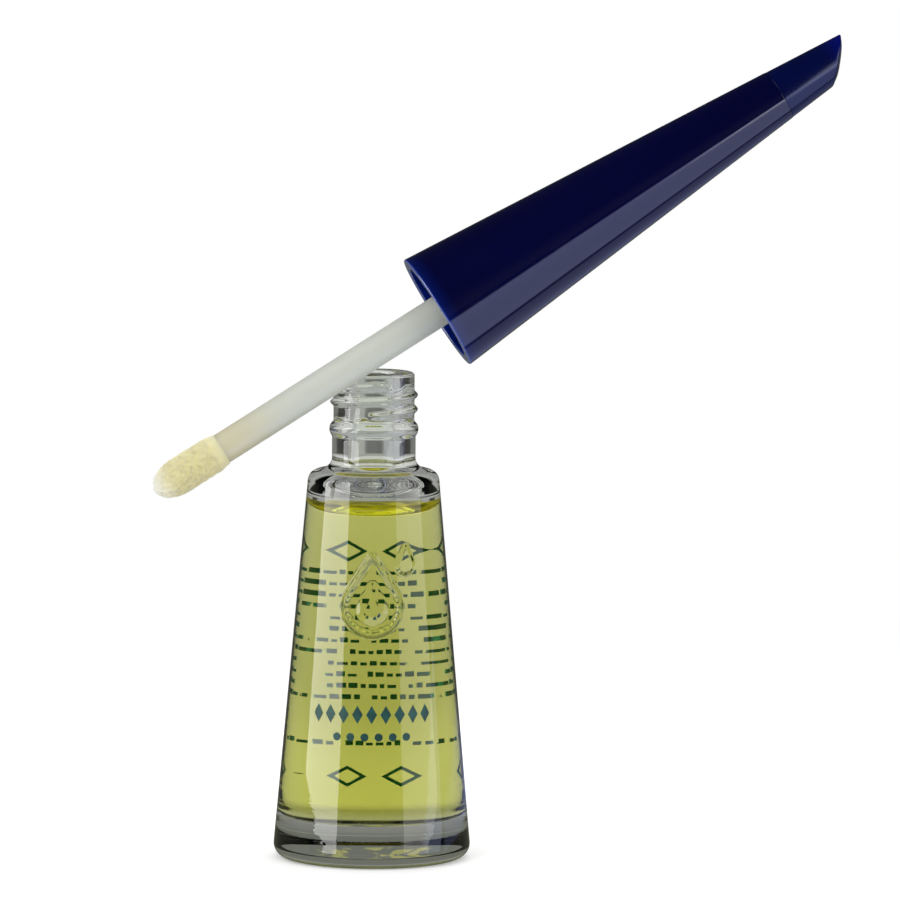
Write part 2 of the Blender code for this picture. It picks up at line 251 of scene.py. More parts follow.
class Signal:
    """An output socket of a node. Python's arithmetic on it adds Math nodes."""

    def __init__(self, sheet, socket):
        self.sheet = sheet
        self.socket = socket

    def also(self, output):
        """Another output of the same node."""
        return Signal(self.sheet, self.socket.node.outputs[output])

    def __add__(self, other):
        return self.sheet.maths("ADD", self, other)

    __radd__ = __add__

    def __sub__(self, other):
        return self.sheet.maths("SUBTRACT", self, other)

    def __rsub__(self, other):
        return self.sheet.maths("SUBTRACT", other, self)

    def __mul__(self, other):
        return self.sheet.maths("MULTIPLY", self, other)

    __rmul__ = __mul__

    def __truediv__(self, other):
        return self.sheet.maths("DIVIDE", self, other)

    def __rtruediv__(self, other):
        return self.sheet.maths("DIVIDE", other, self)


class Sheet:
    """A node tree. One method adds a node, and the others add the usual kinds with it."""

    def __init__(self, tree):
        self.tree = tree

    def node(self, kind, settings=None, sockets=None, output=0):
        """Adds a node with its settings, then the values or links of its sockets. The
        setting "stops" gives a colour ramp its (position, colour) stops."""
        made = self.tree.nodes.new(kind)
        for setting, value in (settings or {}).items():
            if setting == "stops":
                lay_stops(made.color_ramp.elements, value)
            else:
                setattr(made, setting, value)
        for socket, value in (sockets or {}).items():
            if isinstance(value, Signal):
                self.tree.links.new(value.socket, made.inputs[socket])
            else:
                made.inputs[socket].default_value = value
        return Signal(self, made.outputs[output]) if made.outputs else None

    def maths(self, operation, *terms):
        """A sum on numbers."""
        return self.node("ShaderNodeMath", {"operation": operation}, dict(enumerate(terms)))

    def larger(self, first, second):
        """The larger of two numbers."""
        return self.maths("MAXIMUM", first, second)

    def vectors(self, operation, *terms, output="Vector"):
        """A sum on vectors. Its result is a number if output is Value."""
        return self.node("ShaderNodeVectorMath", {"operation": operation}, dict(enumerate(terms)), output)

    def ramp(self, value, stops):
        """The colour that a value from 0 to 1 finds between stops."""
        return self.node("ShaderNodeValToRGB", {"stops": stops}, {"Fac": value})

    def place(self):
        """Where a point is on the piece at rest."""
        return self.node("ShaderNodeTexCoord", output="Object")

    def cap_place(self):
        """Where a point is in the upright cap, with its axis along Z."""
        turn = cap_rotation().to_euler()
        sockets = {"Vector": self.place(), "Location": CAP_CENTRE, "Rotation": turn}
        return self.node("ShaderNodeMapping", {"vector_type": "TEXTURE"}, sockets)

    def height(self, place):
        """The Z part of a place."""
        return self.node("ShaderNodeSeparateXYZ", sockets={"Vector": place}, output="Z")

    def parts(self, place):
        """The X and Y parts of a place."""
        across = self.node("ShaderNodeSeparateXYZ", sockets={"Vector": place}, output="X")
        return across, across.also("Y")

    def noise(self, place, size, detail, stretch=(1, 1, 1)):
        """Soft noise from 0 to 1 whose lumps are about that size, in metres."""
        scaled = self.node("ShaderNodeMapping", sockets={"Vector": place, "Scale": stretch})
        sockets = {"Vector": scaled, "Scale": 1 / size, "Detail": detail}
        return self.node("ShaderNodeTexNoise", sockets=sockets)

    def rise(self, value, low, high, most=1.0):
        """A number that goes smoothly from 0 to most while value goes from low to high."""
        sockets = {"Value": value, "From Min": low, "From Max": high, "To Max": most}
        return self.node("ShaderNodeMapRange", {"interpolation_type": "SMOOTHSTEP"}, sockets)

    def mixed(self, share, first, second):
        """A colour between two colours."""
        sockets = {0: share, 6: first, 7: second}
        return self.node("ShaderNodeMix", {"data_type": "RGBA"}, sockets, output=2)

    def bump(self, height, depth, strength=1.0):
        """A normal that follows a height from 0 to 1, of a real depth in metres."""
        sockets = {"Height": height, "Distance": depth, "Strength": strength}
        return self.node("ShaderNodeBump", sockets=sockets)

    def glow(self, colour, strength):
        """A shader that gives off light."""
        return self.node("ShaderNodeEmission", sockets={"Color": colour, "Strength": strength})

    def principled(self, **sockets):
        """The main shader, its sockets named with underscores for spaces."""
        named = {socket.replace("_", " "): value for socket, value in sockets.items()}
        return self.node("ShaderNodeBsdfPrincipled", sockets=named)


def lay_stops(elements, stops):
    """Gives a colour ramp, which starts with two stops, the stops of a list."""
    for _ in stops[2:]:
        elements.new(0.5)
    for element, (position, colour) in zip(elements, stops):
        element.position = position
        element.color = colour


def rgb(red, green, blue):
    """A colour given as seen on a screen, from 0 to 255, as Blender's linear colour."""
    shares = [part / 255 for part in (red, green, blue)]
    linear = [part / 12.92 if part <= 0.04045 else ((part + 0.055) / 1.055) ** 2.4 for part in shares]
    return (*linear, 1.0)


def grey(level):
    """A neutral colour."""
    return (level, level, level, 1)


def material(name, surface, volume=None, **looks):
    """A material whose surface, and volume if it has one, are laid by functions. The
    surface's function also gets the looks."""
    made = bpy.data.materials.new(name)
    made.use_nodes = True
    made.node_tree.nodes.clear()
    sheet = Sheet(made.node_tree)
    sockets = {"Surface": surface(sheet, **looks)}
    if volume:
        sockets["Volume"] = volume(sheet)
    sheet.node("ShaderNodeOutputMaterial", sockets=sockets)
    return made


# Finishes

GLASS_IOR = 1.52
OIL_IOR = 1.47
CAP_IOR = 1.55
TIP_IOR = 1.57
STEM_IOR = 1.49

# Grain of the finishes: its size, its detail and how it is stretched
GLASS_WAVES = (6.0 * MM, 2.0, (1, 1, 0.5))
GLASS_PEEL = (0.9 * MM, 1.0)
GLASS_RIPPLE = (2.2 * MM, 2.0)
GLASS_SMUDGES = (9.0 * MM, 4.0)
CAUSTIC_THREADS = (1.3 * MM, 2.0, (1, 0.2, 1))
OIL_CLOUDS = (7.0 * MM, 2.0)
OIL_RIPPLE = (5.0 * MM, 1.0)
OIL_STREAKS = (1.6 * MM, 3.0, (0.4, 0.4, 3.0))
INK_PATCHES = (1.4 * MM, 4.0)
INK_GRAIN = (0.12 * MM, 1.0)
CAP_DRIFT = (14.0 * MM, 2.0, (1, 1, 0.4))
CAP_SCUFFS = (0.5 * MM, 2.0, (1, 1, 0.03))
CAP_SMUDGES = (6.0 * MM, 4.0)
CAP_PEEL = (1.1 * MM, 1.0)
TIP_DRIFT = (7.0 * MM, 3.0)
TIP_GRAIN = (0.16 * MM, 2.0)
STEM_STREAKS = (1.6 * MM, 3.0, (1, 1, 0.12))
STEM_FROST = (0.14 * MM, 2.0)
FLOCK_TUFTS = (0.5 * MM, 4.0)
FLOCK_PATCHES = (2.2 * MM, 2.0)
FOAM_CELLS = (0.25 * MM, 3.0)
NIB_CLOUDS = (1.2 * MM, 3.0)

# Depth and strength of the bumps
GLASS_BUMP = (0.05 * MM, 0.6)
OIL_BUMP = (0.04 * MM, 0.5)
INK_BUMP = (0.01 * MM, 1.0)
CAP_BUMP = (0.012 * MM, 0.3)
TIP_BUMP = (0.01 * MM, 0.5)
STEM_BUMP = (0.01 * MM, 0.5)
FLOCK_BUMP = (0.03 * MM, 0.4)
FOAM_BUMP = (0.04 * MM, 1.0)

# Where a look comes in on its piece: from, to and, where it is not all of it, how much
PEEL_TOP = (8.0 * MM, 22.0 * MM)
NECK_START = (BEAD_FOOT - NECK_FILLET, BEAD_TOP)
# Where the thick foot's painted grey shade and its ripple stop
FOOT_TOP = (FLOOR_THICKNESS * 0.8, FLOOR_THICKNESS * 1.1)
# Where the painted glow lies under the foot, in place of light that the oil focuses
CAUSTIC_PLACE = (2.0 * MM, 0.0, PUSH_UP)
CAUSTIC_EDGE = (8.0 * MM, 5.0 * MM)
CAUSTIC_TOP = (1.1 * MM, 0.8 * MM)
# Where the oil's deeper yellow and its stronger painted glow begin, up the creeping edge
CREEP_START = (OIL_LEVEL + 0.02 * MM, OIL_LEVEL + 0.3 * MM)
# Painted glow of light through the cap's bore and thin mouth, and a painted highlight on its lip's very
# edge
BORE_REACH = (8.0 * MM, 7.5 * MM)
BORE_GLOW = (12.0 * MM, 4.0 * MM)
LIP_GLOW = (2.6 * MM, 0.0, 0.22)
LIP_BRIGHT = (0.7 * MM, 0.1 * MM, 0.26)
LIP_PAINTED_HIGHLIGHT = (0.25 * MM, 0.06 * MM, 0.7)
TIP_EDGE = (CAP_LENGTH + TIP_SHORT_SIDE, CAP_LENGTH + TIP_LONG_SIDE)
STEM_STAIN = (1.0 * MM - STEM_REACH, 13.0 * MM - STEM_REACH)
FLOCK_DRY_END = (-WAND_REACH, 3.5 * MM - WAND_REACH)
FLOCK_THIN_END = (-STEM_REACH - 2.6 * MM, FLOCK_OVERLAP - STEM_REACH, 0.7)

# Where a look comes in on its noise, the same way
CAUSTIC_SHARE = (0.5, 0.62)
GLASS_SMUDGE_SHARE = (0.45, 0.9, 0.03)
STREAK_SHARE = (0.35, 0.65, 0.85)
WORN_SHARE = (0.35, 0.7)
SCUFF_SHARE = (0.62, 0.75, 0.05)
CAP_SMUDGE_SHARE = (0.5, 0.8, 0.05)

# How much of each grain the relief has
WAVE_SHARE = 0.6
PEEL_SHARE = 0.03
LOW_PEEL_SHARE = 0.06
NECK_RIPPLE_SHARE = 1.3
FOOT_RIPPLE_SHARE = 0.2

# How far each tint and painted glow goes, and how much painted glow lies between the streaks
BORE_PAINTED_GLOW_SHARE = 0.8
TIP_EDGE_TINT_SHARE = 0.7
DRY_TINT_SHARE = 0.9
CREEP_LEAST_SHARE = 0.15

# Light that the oil takes out, and the painted glow that stands in for light that it gathers and gives
# off
OIL_ABSORPTION = (0.775, 0.77, 0.075, 1)
OIL_DENSITY = 95.0
CAUSTIC_GLOW = (0.3, 0.28, 0.0, 1)
OIL_GLOW = (0.03, 0.035, 0.004, 1)
CREEP_GLOW = (0.3, 0.265, 0.006, 1)


def pressed_glass(sheet, ior):
    """Clear pressed glass: soft waves left by the mould, more of them in the neck, a finer
    peel low on the body, and a painted grey shade in the thick foot, under which a painted
    glow in threads stands in for light that the oil gathers."""
    place = sheet.place()
    up = sheet.height(place)
    low = 1 - sheet.rise(up, *PEEL_TOP)
    neck = sheet.rise(up, *NECK_START)
    foot = 1 - sheet.rise(up, *FOOT_TOP)
    waves = sheet.noise(place, *GLASS_WAVES) * WAVE_SHARE
    peel = sheet.noise(place, *GLASS_PEEL) * (PEEL_SHARE + low * LOW_PEEL_SHARE)
    rippled = neck * NECK_RIPPLE_SHARE + foot * FOOT_RIPPLE_SHARE
    ripple = sheet.noise(place, *GLASS_RIPPLE) * rippled
    from_patch = sheet.vectors("DISTANCE", place, CAUSTIC_PLACE, output="Value")
    threads = sheet.rise(sheet.noise(place, *CAUSTIC_THREADS), *CAUSTIC_SHARE)
    painted_caustic = threads * sheet.rise(from_patch, *CAUSTIC_EDGE) * sheet.rise(up, *CAUSTIC_TOP)
    return sheet.principled(
        # The thick foot's grey is painted shade
        Base_Color=sheet.mixed(foot, rgb(247, 250, 244), rgb(162, 166, 153)),
        Roughness=sheet.rise(sheet.noise(place, *GLASS_SMUDGES), *GLASS_SMUDGE_SHARE),
        IOR=ior,
        Transmission_Weight=1.0,
        # Painted glow in threads under the foot
        Emission_Color=sheet.mixed(painted_caustic, grey(0), CAUSTIC_GLOW),
        Emission_Strength=1.0,
        Normal=sheet.bump(waves + peel + ripple, *GLASS_BUMP),
    )


def oil_depth(sheet):
    """The oil's own colour, which deepens with the length of the way through it."""
    sockets = {"Color": OIL_ABSORPTION, "Density": OIL_DENSITY}
    return sheet.node("ShaderNodeVolumeAbsorption", sockets=sockets)


def wetting_oil(sheet):
    """Oil where it wets the glass, which bends no light there."""
    clouds = sheet.noise(sheet.place(), *OIL_CLOUDS)
    tint = sheet.mixed(clouds, rgb(250, 249, 225), rgb(246, 244, 214))
    return sheet.principled(Base_Color=tint, Roughness=0.0, IOR=1.0, Transmission_Weight=1.0)


def open_oil(sheet):
    """The oil's open surface, with the faint ripple of a standing liquid. A faint painted
    glow lies on it, stronger in streaks where the oil creeps up the glass, in place of
    light that the bottle gathers there."""
    place = sheet.place()
    creep = sheet.rise(sheet.height(place), *CREEP_START)
    streaks = sheet.rise(sheet.noise(place, *OIL_STREAKS), *STREAK_SHARE)
    painted_glow_share = creep * (CREEP_LEAST_SHARE + streaks)
    return sheet.principled(
        Base_Color=sheet.mixed(creep, rgb(250, 249, 222), rgb(216, 206, 66)),
        Roughness=0.0,
        IOR=OIL_IOR,
        Transmission_Weight=1.0,
        # Painted glow, faint all over and stronger in streaks up the creeping edge
        Emission_Color=sheet.mixed(painted_glow_share, OIL_GLOW, CREEP_GLOW),
        Emission_Strength=1.0,
        Normal=sheet.bump(sheet.noise(place, *OIL_RIPPLE), *OIL_BUMP),
    )


def printing_ink(sheet, dark, light, behind=None):
    """Printing ink, a little uneven, with the fine grain of a screen. Its face on the
    glass can be given a lighter, bluer colour of painted light, which shows through the
    oil and the bottle."""
    place = sheet.place()
    patches = sheet.noise(place, *INK_PATCHES)
    grain = sheet.noise(place, *INK_GRAIN)
    worn = sheet.rise(patches * 0.7 + grain * 0.3, *WORN_SHARE)
    colour = sheet.mixed(worn, dark, light)
    # Painted light: the face on the glass is lighter and bluer than the ink, so that it reads bright
    # through the oil
    if behind:
        facing = sheet.node("ShaderNodeTexCoord", output="Normal")
        outward = sheet.vectors("DOT_PRODUCT", place, facing, output="Value")
        colour = sheet.mixed(sheet.rise(outward, 0.0, MM), behind, colour)
    roughness = grain * 0.2 + 0.35
    return sheet.principled(Base_Color=colour, Roughness=roughness, Normal=sheet.bump(grain, *INK_BUMP))


def navy_gloss(sheet):
    """Glossy navy plastic, painted bluer as a glow where light soaks into its thin mouth and
    its bore, with a painted highlight on its lip's edge and the fine lengthwise hairlines
    and the smudges of a handled cap."""
    place = sheet.cap_place()
    up = sheet.height(place)
    deep = sheet.mixed(sheet.noise(place, *CAP_DRIFT), rgb(0, 0, 34), rgb(1, 4, 50))
    spoke = sheet.vectors("MULTIPLY", place, (1, 1, 0))
    from_axis = sheet.vectors("LENGTH", spoke, output="Value")
    # Painted glow: bluer inside the bore and round the thin mouth, where light would soak through
    bore = sheet.rise(from_axis, *BORE_REACH) * sheet.rise(up, *BORE_GLOW)
    lip = sheet.rise(up, *LIP_GLOW) + sheet.rise(up, *LIP_BRIGHT)
    blue = sheet.mixed(sheet.larger(bore * BORE_PAINTED_GLOW_SHARE, lip), deep, rgb(6, 34, 124))
    scuffs = sheet.rise(sheet.noise(place, *CAP_SCUFFS), *SCUFF_SHARE)
    smudges = sheet.rise(sheet.noise(place, *CAP_SMUDGES), *CAP_SMUDGE_SHARE)
    return sheet.principled(
        # Painted highlight: pale blue on the lip's very edge
        Base_Color=sheet.mixed(sheet.rise(up, *LIP_PAINTED_HIGHLIGHT), blue, rgb(98, 114, 188)),
        Roughness=0.07 + scuffs + smudges,
        IOR=CAP_IOR,
        Coat_Weight=0.35,
        Coat_Roughness=0.04,
        Normal=sheet.bump(sheet.noise(place, *CAP_PEEL), *CAP_BUMP),
    )


def navy_satin(sheet):
    """Satin navy plastic of the pusher, bluer towards its working edge and a little smoother there."""
    place = sheet.cap_place()
    grain = sheet.noise(place, *TIP_GRAIN)
    edge = sheet.rise(sheet.height(place), *TIP_EDGE)
    base = sheet.mixed(sheet.noise(place, *TIP_DRIFT), rgb(0, 3, 40), rgb(0, 7, 58))
    return sheet.principled(
        Base_Color=sheet.mixed(edge * TIP_EDGE_TINT_SHARE, base, rgb(0, 6, 104)),
        Roughness=0.12 - edge * 0.01 + grain * 0.05,
        IOR=TIP_IOR,
        Specular_Tint=(0.75, 0.8, 1, 1),
        Normal=sheet.bump(grain, *TIP_BUMP),
    )


def frosted_plastic(sheet):
    """Frosted natural plastic, stained by oil near the applicator."""
    place = sheet.cap_place()
    stained = 1 - sheet.rise(sheet.height(place), *STEM_STAIN)
    streaks = sheet.noise(place, *STEM_STREAKS)
    frost = sheet.noise(place, *STEM_FROST)
    plain = sheet.mixed(streaks, rgb(200, 204, 194), rgb(212, 215, 205))
    return sheet.principled(
        Base_Color=sheet.mixed(stained * (0.7 + streaks * 0.3), plain, rgb(212, 205, 172)),
        Roughness=0.42 + frost * 0.1 - stained * 0.12,
        IOR=STEM_IOR,
        Transmission_Weight=0.2,
        Subsurface_Weight=0.6,
        Subsurface_Radius=(1.0, 1.0, 0.9),
        Subsurface_Scale=1.6 * MM,
        Coat_Weight=0.3,
        Coat_Roughness=0.16,
        Normal=sheet.bump(frost, *STEM_BUMP),
    )


def soaked_flock(sheet):
    """Oil-soaked flock: matted yellow fibres, paler where the coat is thin and where the
    tip has dried."""
    place = sheet.cap_place()
    up = sheet.height(place)
    tufts = sheet.noise(place, *FLOCK_TUFTS)
    patches = sheet.noise(place, *FLOCK_PATCHES)
    soaked = sheet.mixed(tufts * 0.5 + patches * 0.5, rgb(210, 201, 142), rgb(222, 213, 164))
    coat = sheet.mixed(sheet.rise(up, *FLOCK_THIN_END), soaked, rgb(212, 206, 168))
    dry = 1 - sheet.rise(up, *FLOCK_DRY_END)
    return sheet.principled(
        Base_Color=sheet.mixed(dry * DRY_TINT_SHARE, coat, rgb(246, 243, 222)),
        Roughness=0.75 + tufts * 0.2,
        Subsurface_Weight=0.9,
        Subsurface_Radius=(1.0, 0.9, 0.6),
        Subsurface_Scale=0.8 * MM,
        Sheen_Weight=0.2,
        Normal=sheet.bump(tufts, *FLOCK_BUMP),
    )


def washer_foam(sheet):
    """Closed-cell foam of the washer."""
    cells = sheet.noise(sheet.place(), *FOAM_CELLS)
    colour = sheet.mixed(cells, rgb(196, 200, 194), rgb(226, 228, 222))
    return sheet.principled(Base_Color=colour, Roughness=0.8, Normal=sheet.bump(cells, *FOAM_BUMP))


def nib_plastic(sheet):
    """The applicator's core, a soft plastic that the oil has yellowed."""
    clouds = sheet.noise(sheet.place(), *NIB_CLOUDS)
    colour = sheet.mixed(clouds, rgb(208, 204, 160), rgb(224, 220, 186))
    return sheet.principled(Base_Color=colour, Roughness=0.5 + clouds * 0.1)


# Shapes


def rounded(corners):
    """Points of an outline through (radius, height, rounding) corners, its corners as arcs.
    A point close beside each arc holds the straight sides flat in the smooth shading."""
    points = []
    places = [Vector(corner[:2]) for corner in corners]
    for i, (_, _, rounding) in enumerate(corners):
        here = places[i]
        before = places[i - 1] - here
        after = places[(i + 1) % len(places)] - here
        turn = math.pi - before.angle(after)
        if not rounding or turn < ARC_STEP / 4:
            points.append(here)
            continue
        room = min(before.length, after.length) * ROUNDING_SHARE
        reach = min(rounding * math.tan(turn / 2), room)
        radius = reach / math.tan(turn / 2)
        start = here + before.normalized() * reach
        inward = (before.normalized() + after.normalized()).normalized()
        centre = here + inward * math.hypot(reach, radius)
        spoke = start - centre
        way = 1 if before.cross(after) < 0 else -1
        steps = max(3, math.ceil(turn / ARC_STEP))
        points.append(start + before.normalized() * min(HOLD, before.length * HOLD_SHARE))
        for step in range(steps + 1):
            points.append(centre + Matrix.Rotation(way * turn * step / steps, 2) @ spoke)
        end = here + after.normalized() * reach
        points.append(end + after.normalized() * min(HOLD, after.length * HOLD_SHARE))
    return points


def turned(outline, sides, closed=False):
    """A bmesh of a solid turned about Z, from axis to axis, or of a ring if it is closed."""
    bm = bmesh.new()
    verts = [bm.verts.new((point[0], 0, point[1])) for point in outline]
    pairs = list(zip(verts, verts[1:]))
    if closed:
        pairs.append((verts[-1], verts[0]))
    edges = [bm.edges.new(pair) for pair in pairs]
    full = {"angle": math.tau, "steps": sides, "use_merge": True}
    bmesh.ops.spin(bm, geom=verts + edges, cent=(0, 0, 0), axis=(0, 0, 1), **full)
    bmesh.ops.remove_doubles(bm, verts=bm.verts, dist=TOUCH)
    bmesh.ops.recalc_face_normals(bm, faces=bm.faces)
    bm.normal_update()
    bm.verts.index_update()
    return bm


def in_order(faces):
    """Faces of a turned solid by the numbers of their points. These are the same on each
    run, which the order that the faces are kept in isn't."""
    return sorted(faces, key=lambda face: sorted(vert.index for vert in face.verts))


def piece(name, bm, body, finishes, stands_for=(), place=None):
    """Turns a bmesh into a smooth piece that rides on one of the frame's bodies."""
    if place:
        bmesh.ops.transform(bm, matrix=place, verts=bm.verts)
    mesh = bpy.data.meshes.new(name)
    bm.to_mesh(mesh)
    bm.free()
    mesh.shade_smooth()
    mesh.set_sharp_from_angle(angle=SHARP_ANGLE)
    for finish in finishes:
        mesh.materials.append(finish)
    made = bpy.data.objects.new(name, mesh)
    bpy.context.scene.collection.objects.link(made)
    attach(made, body)
    if stands_for:
        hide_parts(*stands_for)
    return made


def rows_between(radius, low, high, rows):
    """Outline points up a straight wall, evenly spaced between its ends."""
    return [(radius, low + (high - low) * row / rows, 0) for row in range(1, rows)]


def thread_rise(angle, height, start, top, turns):
    """Share of its full height that a right-handed thread has at a place on a wall. The
    thread starts at the angle start and the height top and winds down; its ends fade."""
    rise = 0
    for lap in range(math.ceil(turns)):
        along = lap + (start - angle) % math.tau / math.tau
        offset = abs(height - (top - along * THREAD_PITCH)) / (THREAD_WIDTH / 2)
        if along < turns and offset < 1:
            fade = math.sin(min(1, min(along, turns - along) / THREAD_FADE_TURNS) * math.pi / 2)
            rise = max(rise, fade * (1 + math.cos(offset * math.pi)) / 2)
    return rise


def cut_thread(bm, wall_radius, low, high, height, **thread):
    """Moves the points of a turned wall out, or in if height is negative, as a thread."""
    for vert in bm.verts:
        radius = math.hypot(vert.co.x, vert.co.y)
        if abs(radius - wall_radius) > TOUCH or not low < vert.co.z < high:
            continue
        angle = math.atan2(vert.co.y, vert.co.x)
        scale = 1 + thread_rise(angle, vert.co.z, **thread) * height / radius
        vert.co.x *= scale
        vert.co.y *= scale


# Bottle


def body_radius(height):
    """Radius of the bottle's outer cone at a height above the foot."""
    return BASE_RADIUS + (SHOULDER_RADIUS - BASE_RADIUS) * height / SHOULDER_HEIGHT


def cavity_corners(inset):
    """Corners of the cavity's floor and wall, moved inwards by inset."""
    floor = FLOOR_THICKNESS + inset
    return [(0, floor, 0), (body_radius(floor) - WALL - inset, floor, FLOOR_ROUND)]


def bottle_outline():
    """Outline of the glass from the middle of the foot round to the cavity's floor."""
    throat = ROOF_HEIGHT + SHOULDER_RISE
    ring_inner = BASE_RADIUS - HEEL_ROUND - FOOT_RING_WIDTH
    low = DROP_PLACE - RELIEF_REACH
    high = DROP_PLACE + RELIEF_REACH
    relief_rows = [low + (high - low) * row / RELIEF_ROWS for row in range(RELIEF_ROWS + 1)]
    bead_slope = BEAD_WIDTH * BEAD_SLOPE_SHARE
    thread_foot = BEAD_TOP + RIM_ROUND / 2
    thread_rows = rows_between(FINISH_RADIUS, thread_foot, BOTTLE_HEIGHT - RIM_ROUND, THREAD_ROWS)
    return rounded(
        [
            (0, PUSH_UP, 0),
            (ring_inner - PUSH_UP * 2, PUSH_UP, PUSH_UP),
            (ring_inner, 0, PUSH_UP),
            (BASE_RADIUS, 0, HEEL_ROUND),
            *[(body_radius(row), row, 0) for row in relief_rows],
            (SHOULDER_RADIUS, SHOULDER_HEIGHT, SHOULDER_ROUND),
            (NECK_RADIUS, SHOULDER_HEIGHT + SHOULDER_RISE, NECK_FILLET),
            (NECK_RADIUS, BEAD_FOOT, BEAD_HEIGHT / 2),
            (BEAD_RADIUS, BEAD_FOOT + bead_slope, BEAD_WIDTH / 2),
            (BEAD_RADIUS, BEAD_TOP - bead_slope, BEAD_WIDTH / 2),
            (FINISH_RADIUS, BEAD_TOP, BEAD_HEIGHT / 2),
            *thread_rows,
            (FINISH_RADIUS, BOTTLE_HEIGHT, RIM_ROUND),
            (BORE_RADIUS, BOTTLE_HEIGHT, LIP_ROUND),
            (BORE_RADIUS, throat, THROAT_FILLET),
            (body_radius(ROOF_HEIGHT) - WALL - ROOF_SLANT, ROOF_HEIGHT, ROOF_ROUND),
            (body_radius(ROOF_HEIGHT - ROOF_SLANT) - WALL, ROOF_HEIGHT - ROOF_SLANT, ROOF_ROUND),
            (body_radius(OIL_EDGE) - WALL, OIL_EDGE, 0),
            *reversed(cavity_corners(0)),
        ]
    )


def drop_distance(across, up, radius, height):
    """How far a place is outside a droplet's edge, or inside it if negative. The droplet
    is a round bottom about zero that runs up to a point at the height."""
    across = abs(across)
    slope = (radius - DROP_POINT_RADIUS) / height
    side = math.sqrt(1 - slope * slope)
    along = up * side - across * slope
    if along < 0:
        return math.hypot(across, up) - radius
    if along > side * height:
        return math.hypot(across, up - height) - DROP_POINT_RADIUS
    return across * side + up * slope - radius


def relief(across, up):
    """Height of the pressed droplets at a place on the bottle's front: one as a rounded
    line with a swelling inside it and, above its shoulder, a small full one."""
    line = abs(drop_distance(across, up + DROP_RADIUS / 2, DROP_RADIUS, DROP_HEIGHT)) / RELIEF_LINE
    beside = across - DROP_RADIUS * 1.2
    small = drop_distance(beside, up - DROP_RADIUS, DROP_RADIUS / 3, DROP_HEIGHT / 3)
    swell = -drop_distance(across, up + DROP_RADIUS * 0.6, DROP_RADIUS / 2, DROP_HEIGHT / 2)
    heights = [
        (1 + math.cos(math.pi * min(1, line))) / 2,
        min(1, max(0, RELIEF_LINE / 2 - small) / RELIEF_LINE) * SMALL_HEIGHT_SHARE,
        min(1, max(0, swell + RELIEF_LINE / 2) / (RELIEF_LINE * 2)) * SWELL_HEIGHT_SHARE,
    ]
    return RELIEF_HEIGHT * max(heights)


def press_relief(bm):
    """Cuts the front of the outer wall finely and raises the droplets on it."""

    def in_front(vert):
        across = abs(vert.co.x) < RELIEF_REACH * RELIEF_WIDTH_SHARE and vert.co.y < 0
        outer = math.hypot(vert.co.x, vert.co.y) > body_radius(vert.co.z) - WALL / 2
        return across and outer and abs(vert.co.z - DROP_PLACE) <= RELIEF_REACH + TOUCH

    faces = [face for face in bm.faces if all(in_front(vert) for vert in face.verts)]
    edges = list({edge for face in faces for edge in face.edges})
    bmesh.ops.subdivide_edges(bm, edges=edges, cuts=RELIEF_CUTS, use_grid_fill=True)
    for vert in bm.verts:
        if in_front(vert):
            angle = math.atan2(vert.co.x, -vert.co.y)
            wall = body_radius(vert.co.z)
            radius = wall + relief(angle * wall, vert.co.z - DROP_PLACE)
            vert.co.x = math.sin(angle) * radius
            vert.co.y = -math.cos(angle) * radius


def wet_faces(bm):
    """Puts the glass that the oil touches in the second finish."""
    for face in bm.faces:
        place = face.calc_center_median()
        inside = math.hypot(place.x, place.y) < body_radius(place.z) - WALL / 2
        if inside and FLOOR_THICKNESS - TOUCH < place.z < OIL_EDGE:
            face.material_index = 1


def make_bottle(dry_glass, wet_glass):
    """The bottle, with its thread, its droplets and the wetted inside of its wall."""
    bm = turned(bottle_outline(), GLASS_SIDES)
    thread = dict(start=THREAD_START, top=THREAD_TOP, turns=THREAD_TURNS)
    cut_thread(bm, FINISH_RADIUS, BEAD_TOP, BOTTLE_HEIGHT - RIM_ROUND, THREAD_HEIGHT, **thread)
    press_relief(bm)
    wet_faces(bm)
    piece("bottle_glass", bm, "bottle", [dry_glass, wet_glass], ["glass_bottle"])


def make_oil(body_finish, top_finish):
    """Oil that meets the glass all round and creeps up it at its edge."""
    edge_radius = body_radius(OIL_EDGE) - WALL - HAIR
    creep = []
    for step in range(MENISCUS_STEPS + 1):
        inward = MENISCUS_WIDTH * (step / MENISCUS_STEPS) ** MENISCUS_CROWDING
        rise = (MENISCUS_RISE - HAIR) * math.exp(-inward / MENISCUS_FALL)
        creep.append((edge_radius - inward, OIL_LEVEL + rise, 0))
    outline = rounded([*cavity_corners(HAIR), *creep, (0, OIL_LEVEL, 0)])
    bm = turned(outline, GLASS_SIDES)
    for face in bm.faces:
        place = face.calc_center_median()
        if place.z > OIL_LEVEL - TOUCH and math.hypot(place.x, place.y) < edge_radius - HAIR:
            face.material_index = 1
    piece("oil", bm, "bottle", [body_finish, top_finish], ["oil_fill"])


# Print


def wrap(bm, angle, height):
    """Bends flat marks, drawn in X across and Y up with their thickness in Z, round the
    bottle. angle is where their middle goes, from the front, and height how far up."""
    for vert in bm.verts:
        up = height + vert.co.y
        wall = body_radius(up)
        turn = angle + vert.co.x / wall
        radius = wall + HAIR + vert.co.z
        vert.co = Vector((math.sin(turn) * radius, -math.cos(turn) * radius, up))


def thicken(bm):
    """Gives flat marks the thickness of the ink."""
    shell = bmesh.ops.extrude_face_region(bm, geom=bm.faces[:])
    moved = [item for item in shell["geom"] if isinstance(item, bmesh.types.BMVert)]
    bmesh.ops.translate(bm, verts=moved, vec=(0, 0, INK_THICKNESS))
    bmesh.ops.recalc_face_normals(bm, faces=bm.faces)


